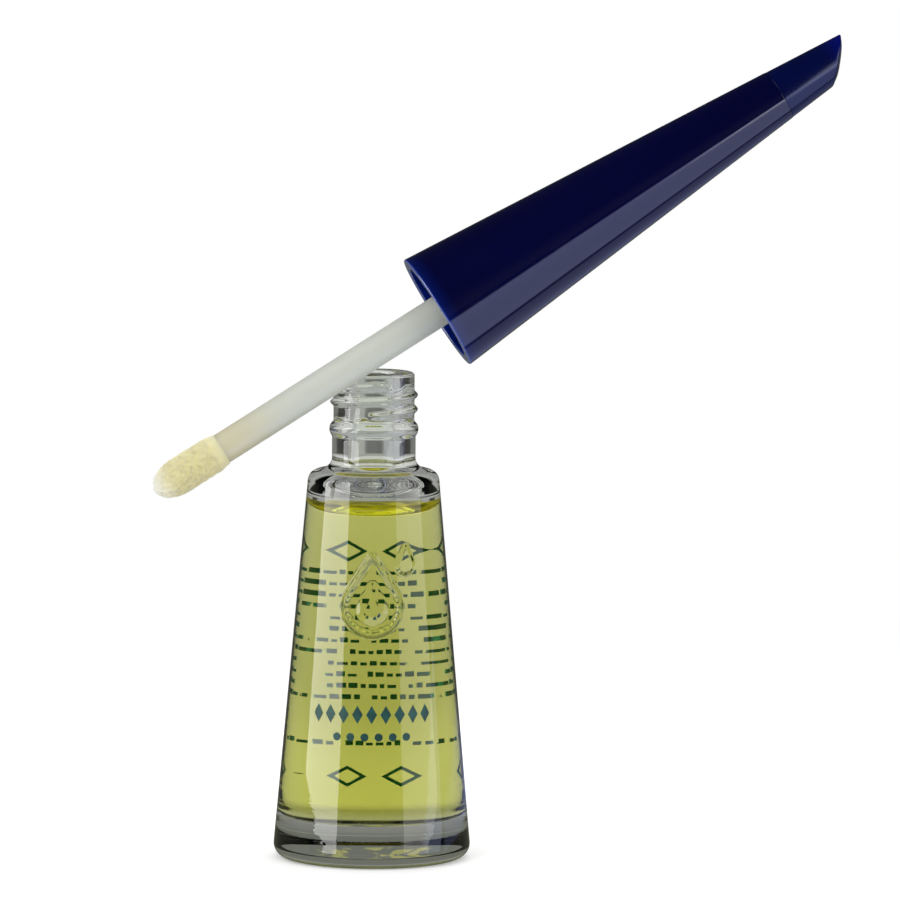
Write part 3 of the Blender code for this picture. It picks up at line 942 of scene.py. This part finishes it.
def add_bar(bm, across, up, length, height):
    """A flat bar with its middle at a place."""
    place = Matrix.Translation((across, up, 0)) @ Matrix.Diagonal((length, height, 1, 1))
    bmesh.ops.create_grid(bm, x_segments=1, y_segments=1, size=0.5, matrix=place)


def add_lozenge(bm, across, up, width, height, hollow=False):
    """A flat lozenge: a square grid turned on its corner, with an open middle if hollow."""
    stretch = Matrix.Diagonal((width, height, 1, 1))
    corner_up = Matrix.Rotation(math.pi / 4, 4, "Z")
    place = Matrix.Translation((across, up, 0)) @ stretch @ corner_up
    cells = LOZENGE_CELLS
    # Half the side of a square that is 1 from corner to corner
    half_side = math.sqrt(0.125)
    grid = bmesh.ops.create_grid(bm, x_segments=cells, y_segments=cells, size=half_side, matrix=place)
    if hollow:
        faces = {face for vert in grid["verts"] for face in vert.link_faces}
        inner = [face for face in faces if not any(vert.is_boundary for vert in face.verts)]
        bmesh.ops.delete(bm, geom=inner, context="FACES")


def add_dot(bm, across, up, radius):
    """A flat round dot."""
    place = Matrix.Translation((across, up, 0))
    bmesh.ops.create_circle(
        bm, cap_ends=True, cap_tris=True, segments=DOT_SIDES, radius=radius, matrix=place
    )


def make_front_band(ink):
    """A row of lozenges over a shorter row of dots, where the front is printed."""
    bm = bmesh.new()
    for i in range(LOZENGES):
        across = (i - (LOZENGES - 1) / 2) * LOZENGE_PITCH
        add_lozenge(bm, across, 0, LOZENGE_WIDTH, LOZENGE_HEIGHT)
    for i in range(DOTS):
        add_dot(bm, (i - (DOTS - 1) / 2) * DOT_PITCH, DOT_PLACE - LOZENGE_PLACE, DOT_RADIUS)
    thicken(bm)
    wrap(bm, 0, LOZENGE_PLACE)
    piece("front_ornament", bm, "bottle", [ink])


def add_row(bm, up, chance):
    """A row of short bars of uneven height, which stand on one line in groups."""
    across = -ROW_REACH
    left = chance.randint(GROUP_FEWEST, GROUP_MOST)
    while across < ROW_REACH:
        length = chance.uniform(BAR_SHORTEST, BAR_LONGEST)
        height = chance.uniform(BAR_LOWEST, BAR_HIGHEST)
        add_bar(bm, across + length / 2, up + (height - BAR_HEIGHT) / 2, length, height)
        left -= 1
        across += length + BAR_GAP
        if not left:
            across += GROUP_GAP
            left = chance.randint(GROUP_FEWEST, GROUP_MOST)


def make_back_panel(ink):
    """Rows of fine bars on the back, between two rows of bold open lozenges."""
    bm = bmesh.new()
    chance = random.Random(PRINT_SEED)
    middle = sum(BOLD_PLACES) / 2
    for row in BAR_ROWS:
        add_row(bm, row - middle, chance)
    for row in BOLD_PLACES:
        for column in range(BOLDS):
            across = (column - (BOLDS - 1) / 2) * BOLD_PITCH
            add_lozenge(bm, across, row - middle, BOLD_WIDTH, BOLD_HEIGHT, hollow=True)
    thicken(bm)
    wrap(bm, math.pi, middle)
    piece("back_ornament", bm, "bottle", [ink])


# Cap


def cap_rotation():
    """Turn that lays the upright cap over to its axis in the frame."""
    bearing = Matrix.Rotation(math.atan2(CAP_AXIS.y, CAP_AXIS.x), 3, "Z")
    lean = Matrix.Rotation(math.acos(CAP_AXIS.z), 3, "Y")
    return bearing @ lean @ Matrix.Rotation(CAP_SPIN, 3, "Z")


def cap_frame():
    """World matrix of the cap as it is held."""
    return Matrix.Translation(CAP_CENTRE) @ cap_rotation().to_4x4()


def cap_radius(height):
    """Radius of the cap's outer cone at a height above the cap's mouth."""
    return CAP_MOUTH_RADIUS + (CAP_SEAM_RADIUS - CAP_MOUTH_RADIUS) * height / CAP_LENGTH


def make_shell(finish):
    """The long cone, with its round lip, the bore with its thread, and the tip's socket."""
    ledge = FLANGE_TOP + FIT_GAP
    thread_end = RIM_SEAT - FIT_GAP
    socket_floor = CAP_LENGTH - SOCKET_DEPTH
    outline = rounded(
        [
            (0, CORE_TOP, 0),
            (cap_radius(CORE_TOP) - CORE_WALL, CORE_TOP, CORE_WALL / 2),
            (PLUG_RADIUS + FIT_GAP, PLUG_TOP + FIT_GAP, 0),
            (PLUG_RADIUS + FIT_GAP, ledge, 0),
            (CAP_FINISH_RADIUS, ledge, 0),
            (CAP_FINISH_RADIUS, RIM_SEAT, 0),
            (CAP_GROOVE_RADIUS, thread_end, 0),
            *reversed(rows_between(CAP_GROOVE_RADIUS, MOUTH_BORE_DEPTH, thread_end, THREAD_ROWS)),
            (CAP_GROOVE_RADIUS, MOUTH_BORE_DEPTH, 0),
            (MOUTH_BORE_RADIUS, MOUTH_BORE_DEPTH - THREAD_HEIGHT, MOUTH_ROUND),
            (MOUTH_BORE_RADIUS, 0, MOUTH_ROUND),
            (CAP_MOUTH_RADIUS, 0, MOUTH_ROUND),
            (CAP_SEAM_RADIUS, CAP_LENGTH, SEAM_ROUND),
            (SOCKET_RADIUS, CAP_LENGTH, SEAM_ROUND),
            (SOCKET_RADIUS, socket_floor, 0),
            (0, socket_floor, 0),
        ]
    )
    bm = turned(outline, CAP_SIDES)
    thread = dict(start=CAP_THREAD_START, top=RIM_SEAT - CAP_THREAD_LEAD, turns=CAP_THREAD_TURNS)
    cut_thread(bm, CAP_GROOVE_RADIUS, MOUTH_BORE_DEPTH, thread_end, -THREAD_HEIGHT, **thread)
    piece("cap_cone", bm, "cap", [finish], ["cap_shell"], cap_frame())


def make_tip(finish):
    """The pusher: a cone cut off slantwise, its cut face a little crowned."""
    foot = CAP_LENGTH + TIP_SEAM
    long_end = CAP_LENGTH + TIP_LONG_SIDE
    short_end = CAP_LENGTH + TIP_SHORT_SIDE
    above = long_end + TIP_LONG_SIDE
    spigot_radius = SOCKET_RADIUS - FIT_GAP
    outline = rounded(
        [
            (0, foot - SPIGOT_LENGTH, 0),
            (spigot_radius, foot - SPIGOT_LENGTH, TIP_STEP),
            (spigot_radius, foot, 0),
            (cap_radius(foot) - TIP_STEP, foot, TIP_STEP),
            (cap_radius(above) - TIP_STEP, above, 0),
            (0, above, 0),
        ]
    )
    bm = turned(outline, STEM_SIDES)
    long_point = Vector((cap_radius(long_end) - TIP_STEP, 0, long_end))
    short_point = Vector((TIP_STEP - cap_radius(short_end), 0, short_end))
    along = long_point - short_point
    whole = bm.verts[:] + bm.edges[:] + bm.faces[:]
    normal = Vector((-along.z, 0, along.x)).normalized()
    cut = long_point - normal * (TIP_BULGE * TIP_SINK_SHARE)
    bmesh.ops.bisect_plane(bm, geom=whole, plane_co=cut, plane_no=normal, clear_outer=True)
    rim = [edge for edge in bm.edges if edge.is_boundary]
    bmesh.ops.holes_fill(bm, edges=rim)
    bmesh.ops.bevel(
        bm,
        geom=rim,
        offset=TIP_EDGE_ROUND,
        segments=TIP_EDGE_STEPS,
        profile=0.5,
        affect="EDGES",
        material=-1,
    )
    crown_end(bm, max(bm.faces, key=lambda face: len(face.verts)))
    piece("pusher", bm, "cap", [finish], ["pusher_tip"], cap_frame())


def crown_end(bm, end):
    """Insets a flat face in rings, each a little higher, so that it swells to its middle."""
    for ring in range(TIP_RINGS):
        here = 1 - (1 - ring / TIP_RINGS) ** 2
        beyond = 1 - (1 - (ring + 1) / TIP_RINGS) ** 2
        width = TIP_CROWN_WIDTH / TIP_RINGS
        bmesh.ops.inset_region(bm, faces=[end], thickness=width, depth=TIP_BULGE * (beyond - here))


def make_stem(finish):
    """The hollow wand, its flange and its plug."""
    plug_bore = PLUG_RADIUS - PLUG_WALL
    wall = STEM_RADIUS - STEM_BORE_RADIUS
    outline = rounded(
        [
            (0, -STEM_SOLID_LENGTH, 0),
            (STEM_BORE_RADIUS, -STEM_SOLID_LENGTH, STEM_BORE_RADIUS / 2),
            (STEM_BORE_RADIUS, -STEM_REACH, 0),
            (STEM_RADIUS, -STEM_REACH, 0),
            (STEM_RADIUS, FLANGE_FOOT, 0),
            (SEAL_RADIUS, FLANGE_FOOT, 0),
            (SEAL_RADIUS, FLANGE_TOP, 0),
            (PLUG_RADIUS, FLANGE_TOP, 0),
            (PLUG_RADIUS, PLUG_TOP, wall / 2),
            (plug_bore, PLUG_TOP, 0),
            (plug_bore, FLANGE_TOP, wall / 2),
            (0, FLANGE_TOP, 0),
        ]
    )
    bm = turned(outline, STEM_SIDES)
    piece("wand", bm, "cap", [finish], ["wand_stem"], cap_frame())


def flock_outline():
    """Outline of the flocked coat, with rows close enough for its lumps. Its nose is half
    an egg, and its other end thins out over the stem."""
    inner = FLOCK_RADIUS - FLOCK_THICKNESS
    ledge = -STEM_REACH - HAIR
    end_radius = STEM_RADIUS + HAIR / 2
    nose = []
    for step in range(FLOCK_NOSE_STEPS + 1):
        turn = math.pi / 2 * step / FLOCK_NOSE_STEPS
        up = FLOCK_NOSE_LENGTH * (1 - math.cos(turn))
        nose.append((FLOCK_RADIUS * math.sin(turn), up - WAND_REACH, 0))
    taper_start = FLOCK_OVERLAP - STEM_REACH - FLOCK_TAPER
    taper = []
    for step in range(FLOCK_TAPER_STEPS + 1):
        share = step / FLOCK_TAPER_STEPS
        thinner = (FLOCK_RADIUS - end_radius - FLOCK_END) * math.sin(share * math.pi / 2) ** 2
        taper.append((FLOCK_RADIUS - thinner, taper_start + FLOCK_TAPER * share, 0))
    return rounded(
        [
            *nose,
            *rows_between(FLOCK_RADIUS, nose[-1][1], taper_start, FLOCK_ROWS),
            *taper,
            (end_radius, taper[-1][1], 0),
            (end_radius, ledge, 0),
            (inner, ledge, 0),
            (inner, FLOCK_NOSE_LENGTH - WAND_REACH, 0),
            (inner / 2, FLOCK_THICKNESS * 2 - WAND_REACH, 0),
            (0, FLOCK_THICKNESS * 2 - WAND_REACH, 0),
        ]
    )


def coat_faces(bm):
    """The outer faces of the coat, which all look away from its bore."""
    nose_end = FLOCK_NOSE_LENGTH - WAND_REACH
    outer = []
    for face in bm.faces:
        place = face.calc_center_median()
        beside = math.hypot(place.x, place.y) > STEM_RADIUS + HAIR
        if beside or (place.z < nose_end and face.normal.z < 0):
            outer.append(face)
    return outer


def add_fibres(bm, roots, chance):
    """Sows short tapering fibres that lie along the wand, rooted in the coat's faces."""
    one = bmesh.new()
    tip_radius = FIBRE_RADIUS / 4
    bmesh.ops.create_cone(
        one, cap_ends=True, segments=FIBRE_SIDES, radius1=FIBRE_RADIUS, radius2=tip_radius, depth=1
    )
    areas = [face.calc_area() for face in roots]
    for face in chance.choices(roots, weights=areas, k=FIBRES):
        corners = [vert.co for vert in sorted(face.verts, key=lambda vert: vert.index)]
        shares = [chance.random() for _ in corners]
        root = sum((corner * share for corner, share in zip(corners, shares)), Vector()) / sum(shares)
        lean = Vector([chance.uniform(-1, most) for most in (1, 1, FIBRE_UPMOST)]) * FIBRE_LIE
        way = (face.normal + lean).normalized()
        length = FIBRE_LENGTH * chance.uniform(FIBRE_SHORTEST_SHARE, 1.0)
        middle = root + way * length * (0.5 - FIBRE_SUNK_SHARE)
        turn = way.to_track_quat("Z", "Y").to_matrix().to_4x4()
        fibre = bpy.data.meshes.new("fibre")
        one.to_mesh(fibre)
        fibre.transform(Matrix.Translation(middle) @ turn @ Matrix.Diagonal((1, 1, length, 1)))
        bm.from_mesh(fibre)
        bpy.data.meshes.remove(fibre)
    one.free()


def make_flock(finish):
    """The flocked coat: a lumpy bullet whose lumps fade as it thins out, with fibres on
    all of it but that end."""
    bm = turned(flock_outline(), STEM_SIDES)
    coat = coat_faces(bm)
    sown_end = -STEM_REACH - FLOCK_TAPER / 2
    sown = in_order(face for face in coat if face.calc_center_median().z < sown_end)
    for vert in {vert for face in coat for vert in face.verts}:
        lump = min(0, noise.fractal(vert.co / FLOCK_LUMP_SIZE, 1.0, 2.0, 3) - FLOCK_LUMP_START)
        fade = min(1, max(0, FLOCK_OVERLAP - STEM_REACH - vert.co.z) / FLOCK_TAPER)
        vert.co += vert.normal * lump * fade * fade * FLOCK_LUMP
    add_fibres(bm, sown, random.Random(FLOCK_SEED))
    piece("flock_coat", bm, "cap", [finish], ["flock_sleeve"], cap_frame())


def dress_node(node, finish):
    """Gives one of the frame's own pieces its finish."""
    frame["nodes"][node].material_slots[0].material = finish


# Studio

FLOOR_DROP = 0.03 * MM
FLOOR_RADIUS = 4.0
FLOOR_SIDES = 96
FLOOR_ALBEDO = 0.8
FLOOR_GLOW = 0.3
WHITE_START = (0.1, 0.3)

# Surfaces that light has passed once it is through the oil or the bore, and mirrorings
OIL_PASSED = (4.4, 5.0)
BORE_PASSED = (2.4, 3.0)
MIRRORINGS = (0.4, 0.8)

# What light that comes through the bottle finds on the floor, as shares of white. A fall
# has where it starts and ends, in metres or as a share of the way behind the bottle, and
# how much it takes off.
# The grey pool starts a little way out, which leaves painted shadow close round the bottle
POOL_START = (0.04, 0.08)
POOL_END = (0.324, 0.27)
POOL_LEVEL = 0.3
GLASS_LEVEL = 0.38
FRONT_FALL = (0.57, 0.26, 0.6)
OIL_BRIGHT = 0.92
OIL_FALL = (0.05, 0.11, 0.24)
OIL_RETURN = (0.19, 0.25, 0.06)
SPOT_EDGE = (0.0145, 0.0116, 1.2)
FAR_START = (0.53, 0.5565)
WALL_LEVEL = 0.16
WALL_FALL = (0.56, 0.66, 0.13)
MIRROR_LEVEL = 0.36
MIRROR_FALL = (0.72, 0.85, 0.32)
BORE_SIDE_FALL = (0.0, 0.05, 0.12)

# Level of the far floor in the bore, by degrees from straight behind the bottle
BORE_STOPS = [(180, 0.3), (60, 0.3), (45, 0.36), (41, 0.42), (12.5, 0.42), (8.5, 0.16), (0, 0.16)]

# Level of the light cards that gloss sees on the floor, by bearing in degrees from their
# centre, and the dusk beside them
FAN_CENTRE = (-0.12, -0.045, 0.0)
FAN_STOPS = [(-49, 0.03), (-45, 1.25), (4, 1.0), (7, 0.9), (8, 0.05), (10.5, 0.1), (12, 0.4), (43, 0.32)]
FAN_END = 52
DUSK = (0.13, 0.135, 0.1, 1)
LOW_CARD_START = (10.5, 12)
LOW_CARD_END = (0.22, 0.3)
CLOSE_BY = (0.072, 0.055)

# Light of the world round the floor
SKY_LEVEL = 0.85
BACKDROP_LEVEL = 0.42
BACKDROP_FALL = (0.3, 0.8, 0.24)
GLOOM_LEVEL = 0.06
GLOOM_FALL = (0.05, 0.4, 0.04)

# The lamps: bearing in degrees, distance, height, height of what they point at, width,
# length and radiance. The bands show in gloss and the others light matt surfaces.
BANDS = {
    "left_band": (-66, 0.45, 0.204, 0.204, 0.42, 0.4, 3.6),
    "right_band": (63, 0.5, 0.2, 0.2, 0.46, 0.4, 1.3),
}
SOFT_LAMPS = {
    "key": (-38, 1.3, 1.0, 0.06, 0.9, 0.9, 2.2),
    "fill": (42, 1.4, 0.7, 0.06, 0.9, 0.9, 1.6),
    "back": (170, 1.3, 1.0, 0.06, 0.9, 0.9, 2.0),
}

CAMERA_PLACE = (11.3 * MM, -1326.6 * MM, 204.98 * MM)
CAMERA_TILT = math.radians(6.2)
CAMERA_ROLL = math.radians(0.36)
LENS = 360.0
SENSOR = 36.0


def cool(level):
    """The bluish white of the light cards."""
    return (level * 0.78, level * 0.86, level * 1.4, 1)


def on_gradient(degrees):
    """Where a bearing lies on a radial gradient."""
    return 0.5 + degrees / 360


def far_floor(sheet, ray, behind, across):
    """Level of the floor far off, whose dark and pale sides show in the neck. It is one
    for light through the bore, one for light through the glass round it, and one for
    light that was mirrored in that glass."""
    passed = ray.also("Transmission Depth")
    bored = sheet.rise(passed, *BORE_PASSED)
    mirrored = sheet.rise(ray.also("Ray Depth") - passed, *MIRRORINGS)
    wall = WALL_LEVEL - sheet.rise(behind, *WALL_FALL)
    thrown_back = MIRROR_LEVEL - sheet.rise(behind, *MIRROR_FALL)
    stops = [((math.cos(math.radians(degrees)) + 1) / 2, grey(level)) for degrees, level in BORE_STOPS]
    bore = sheet.ramp(behind * 0.5 + 0.5, stops) * (1 - sheet.rise(across, *BORE_SIDE_FALL))
    return bored * bore + (1 - bored) * (mirrored * thrown_back + (1 - mirrored) * wall)


def floor_through_bottle(sheet, ray, place, away):
    """Level of the floor for light that comes through the bottle: a bright pool through
    the oil, a grey one through glass alone with painted shadow close round the bottle,
    where that pool has not begun, and a bright spot under the foot."""
    across, along = sheet.parts(place)
    behind = along / away
    oily = sheet.rise(ray.also("Transmission Depth"), *OIL_PASSED)
    near = 1 - sheet.rise(behind, *FRONT_FALL)
    pool = sheet.rise(away, *POOL_START) * sheet.rise(away, *POOL_END)
    beyond = sheet.rise(away, *FAR_START)
    far = far_floor(sheet, ray, behind, across)
    through_glass = (1 - beyond) * (GLASS_LEVEL + pool * near * POOL_LEVEL) + beyond * far
    fading = sheet.rise(away, *OIL_FALL) - sheet.rise(away, *OIL_RETURN)
    through_oil = (OIL_BRIGHT - fading) * near
    return oily * through_oil + (1 - oily) * through_glass + sheet.rise(away, *SPOT_EDGE)


def light_cards(sheet, ray, place, away):
    """Colour of the floor in gloss: a fan of two light cards with a narrow gap, laid out
    from below the cap's axis, the lower one short. It is dusky beside them, and close to
    what mirrors it."""
    spoke = sheet.vectors("SUBTRACT", place, FAN_CENTRE)
    radial = {"gradient_type": "RADIAL"}
    bearing = sheet.node("ShaderNodeTexGradient", radial, {"Vector": spoke}, output="Fac")
    stops = [(on_gradient(degrees), cool(level)) for degrees, level in FAN_STOPS]
    cards = sheet.ramp(bearing, [*stops, (on_gradient(FAN_END), DUSK)])
    low_card = sheet.rise(bearing, *[on_gradient(degrees) for degrees in LOW_CARD_START])
    past_end = low_card * sheet.rise(away, *LOW_CARD_END)
    close = sheet.rise(ray.also("Ray Length"), *CLOSE_BY)
    return sheet.mixed(sheet.larger(past_end, close), cards, DUSK)


def pale_floor(sheet):
    """A pale floor. The camera sees it white, with the object's shadow, and glass and
    gloss each see their own picture of it."""
    place = sheet.place()
    away = sheet.vectors("LENGTH", place, output="Value")
    ray = sheet.node("ShaderNodeLightPath", output="Is Camera Ray")
    through = ray.also("Is Transmission Ray")
    glossy = ray.also("Is Glossy Ray")
    in_gloss = glossy * (1 - through)
    level = ray * FLOOR_GLOW + through * floor_through_bottle(sheet, ray, place, away) + in_gloss
    tint = sheet.mixed(in_gloss, grey(1), light_cards(sheet, ray, place, away))
    albedo = FLOOR_ALBEDO - FLOOR_ALBEDO * sheet.larger(glossy, through)
    matt = sheet.node("ShaderNodeBsdfDiffuse", sockets={"Color": albedo})
    lit = sheet.node("ShaderNodeAddShader", sockets={0: matt, 1: sheet.glow(tint, level)})
    white = sheet.glow(grey(1), 1.0)
    backdrop = ray * sheet.rise(away, *WHITE_START)
    return sheet.node("ShaderNodeMixShader", sockets={0: backdrop, 1: lit, 2: white})


def make_floor(finish):
    """The round floor, a hair under the foot."""
    bm = bmesh.new()
    place = Matrix.Translation((0, 0, -FLOOR_DROP))
    bmesh.ops.create_circle(bm, cap_ends=True, segments=FLOOR_SIDES, radius=FLOOR_RADIUS, matrix=place)
    mesh = bpy.data.meshes.new("studio_floor")
    bm.to_mesh(mesh)
    bm.free()
    mesh.materials.append(finish)
    floor = bpy.data.objects.new("studio_floor", mesh)
    bpy.context.scene.collection.objects.link(floor)


def make_world():
    """White to the camera, grey near the horizon and dark above for glass and gloss, and
    a plain soft light for everything else."""
    world = bpy.data.worlds.new("studio")
    world.use_nodes = True
    world.node_tree.nodes.clear()
    sheet = Sheet(world.node_tree)
    up = sheet.height(sheet.node("ShaderNodeTexCoord", output="Generated"))
    ray = sheet.node("ShaderNodeLightPath", output="Is Camera Ray")
    glossy = ray.also("Is Glossy Ray")
    through = ray.also("Is Transmission Ray")
    plain = 1 - sheet.larger(ray, sheet.larger(glossy, through))
    backdrop = BACKDROP_LEVEL - sheet.rise(up, *BACKDROP_FALL)
    gloom = GLOOM_LEVEL - sheet.rise(up, *GLOOM_FALL)
    level = ray + through * backdrop + (glossy - through) * gloom + plain * SKY_LEVEL
    light = sheet.node("ShaderNodeBackground", sockets={"Color": grey(1), "Strength": level})
    sheet.node("ShaderNodeOutputWorld", sockets={"Surface": light})
    bpy.context.scene.world = world


def softbox(name, bearing, distance, height, aim, width, length, radiance, in_gloss):
    """A soft rectangular lamp round the bottle. It shows in gloss alone, or lights matt
    surfaces alone."""
    lamp = bpy.data.lights.new(name, "AREA")
    lamp.shape = "RECTANGLE"
    lamp.size = width
    lamp.size_y = length
    lamp.energy = radiance * width * length * 4
    made = bpy.data.objects.new(name, lamp)
    bpy.context.scene.collection.objects.link(made)
    turn = math.radians(bearing)
    place = Vector((math.sin(turn) * distance, -math.cos(turn) * distance, height))
    made.location = place
    made.rotation_euler = (place - Vector((0, 0, aim))).to_track_quat("Z", "Y").to_euler()
    made.visible_camera = False
    made.visible_glossy = in_gloss
    made.visible_diffuse = not in_gloss
    made.visible_transmission = False


def make_lamps():
    """The bands for the glass and the cap's gloss, and the lamps for matt surfaces."""
    for name, sizes in BANDS.items():
        softbox(name, *sizes, in_gloss=True)
    for name, sizes in SOFT_LAMPS.items():
        softbox(name, *sizes, in_gloss=False)


def make_camera():
    """Looks along +Y and a little down, at the photograph's angle."""
    lens = bpy.data.cameras.new("camera")
    lens.lens = LENS
    lens.sensor_width = SENSOR
    camera = bpy.data.objects.new("camera", lens)
    bpy.context.scene.collection.objects.link(camera)
    tilt = Matrix.Rotation(math.pi / 2 - CAMERA_TILT, 4, "X")
    roll = Matrix.Rotation(CAMERA_ROLL, 4, "Z")
    camera.matrix_world = Matrix.Translation(CAMERA_PLACE) @ tilt @ roll
    bpy.context.scene.camera = camera


def build():
    """Makes the pieces from the bottle up to the cap, and the studio round them."""
    teal = {"dark": rgb(0, 54, 48), "light": rgb(10, 76, 68)}
    front_ink = material("teal_ink", printing_ink, **teal)
    # The back print's face on the glass is painted lighter and bluer, as painted light seen through the
    # oil
    back_ink = material("teal_ink_behind_oil", printing_ink, behind=rgb(12, 186, 190), **teal)
    dry_glass = material("clear_glass", pressed_glass, ior=GLASS_IOR)
    wet_glass = material("wetted_glass", pressed_glass, ior=GLASS_IOR / OIL_IOR)
    make_bottle(dry_glass, wet_glass)
    make_oil(material("oil_body", wetting_oil, oil_depth), material("oil_top", open_oil, oil_depth))
    make_front_band(front_ink)
    make_back_panel(back_ink)
    make_shell(material("navy_gloss_plastic", navy_gloss))
    make_tip(material("navy_satin_plastic", navy_satin))
    make_stem(material("frosted_plastic", frosted_plastic))
    make_flock(material("oil_soaked_flock", soaked_flock))
    dress_node("seal_washer", material("washer_foam", washer_foam))
    dress_node("applicator_nib", material("nib_plastic", nib_plastic))
    make_floor(material("pale_floor", pale_floor))
    make_world()
    make_lamps()
    make_camera()
    bpy.context.scene.view_settings.view_transform = "Standard"


build()
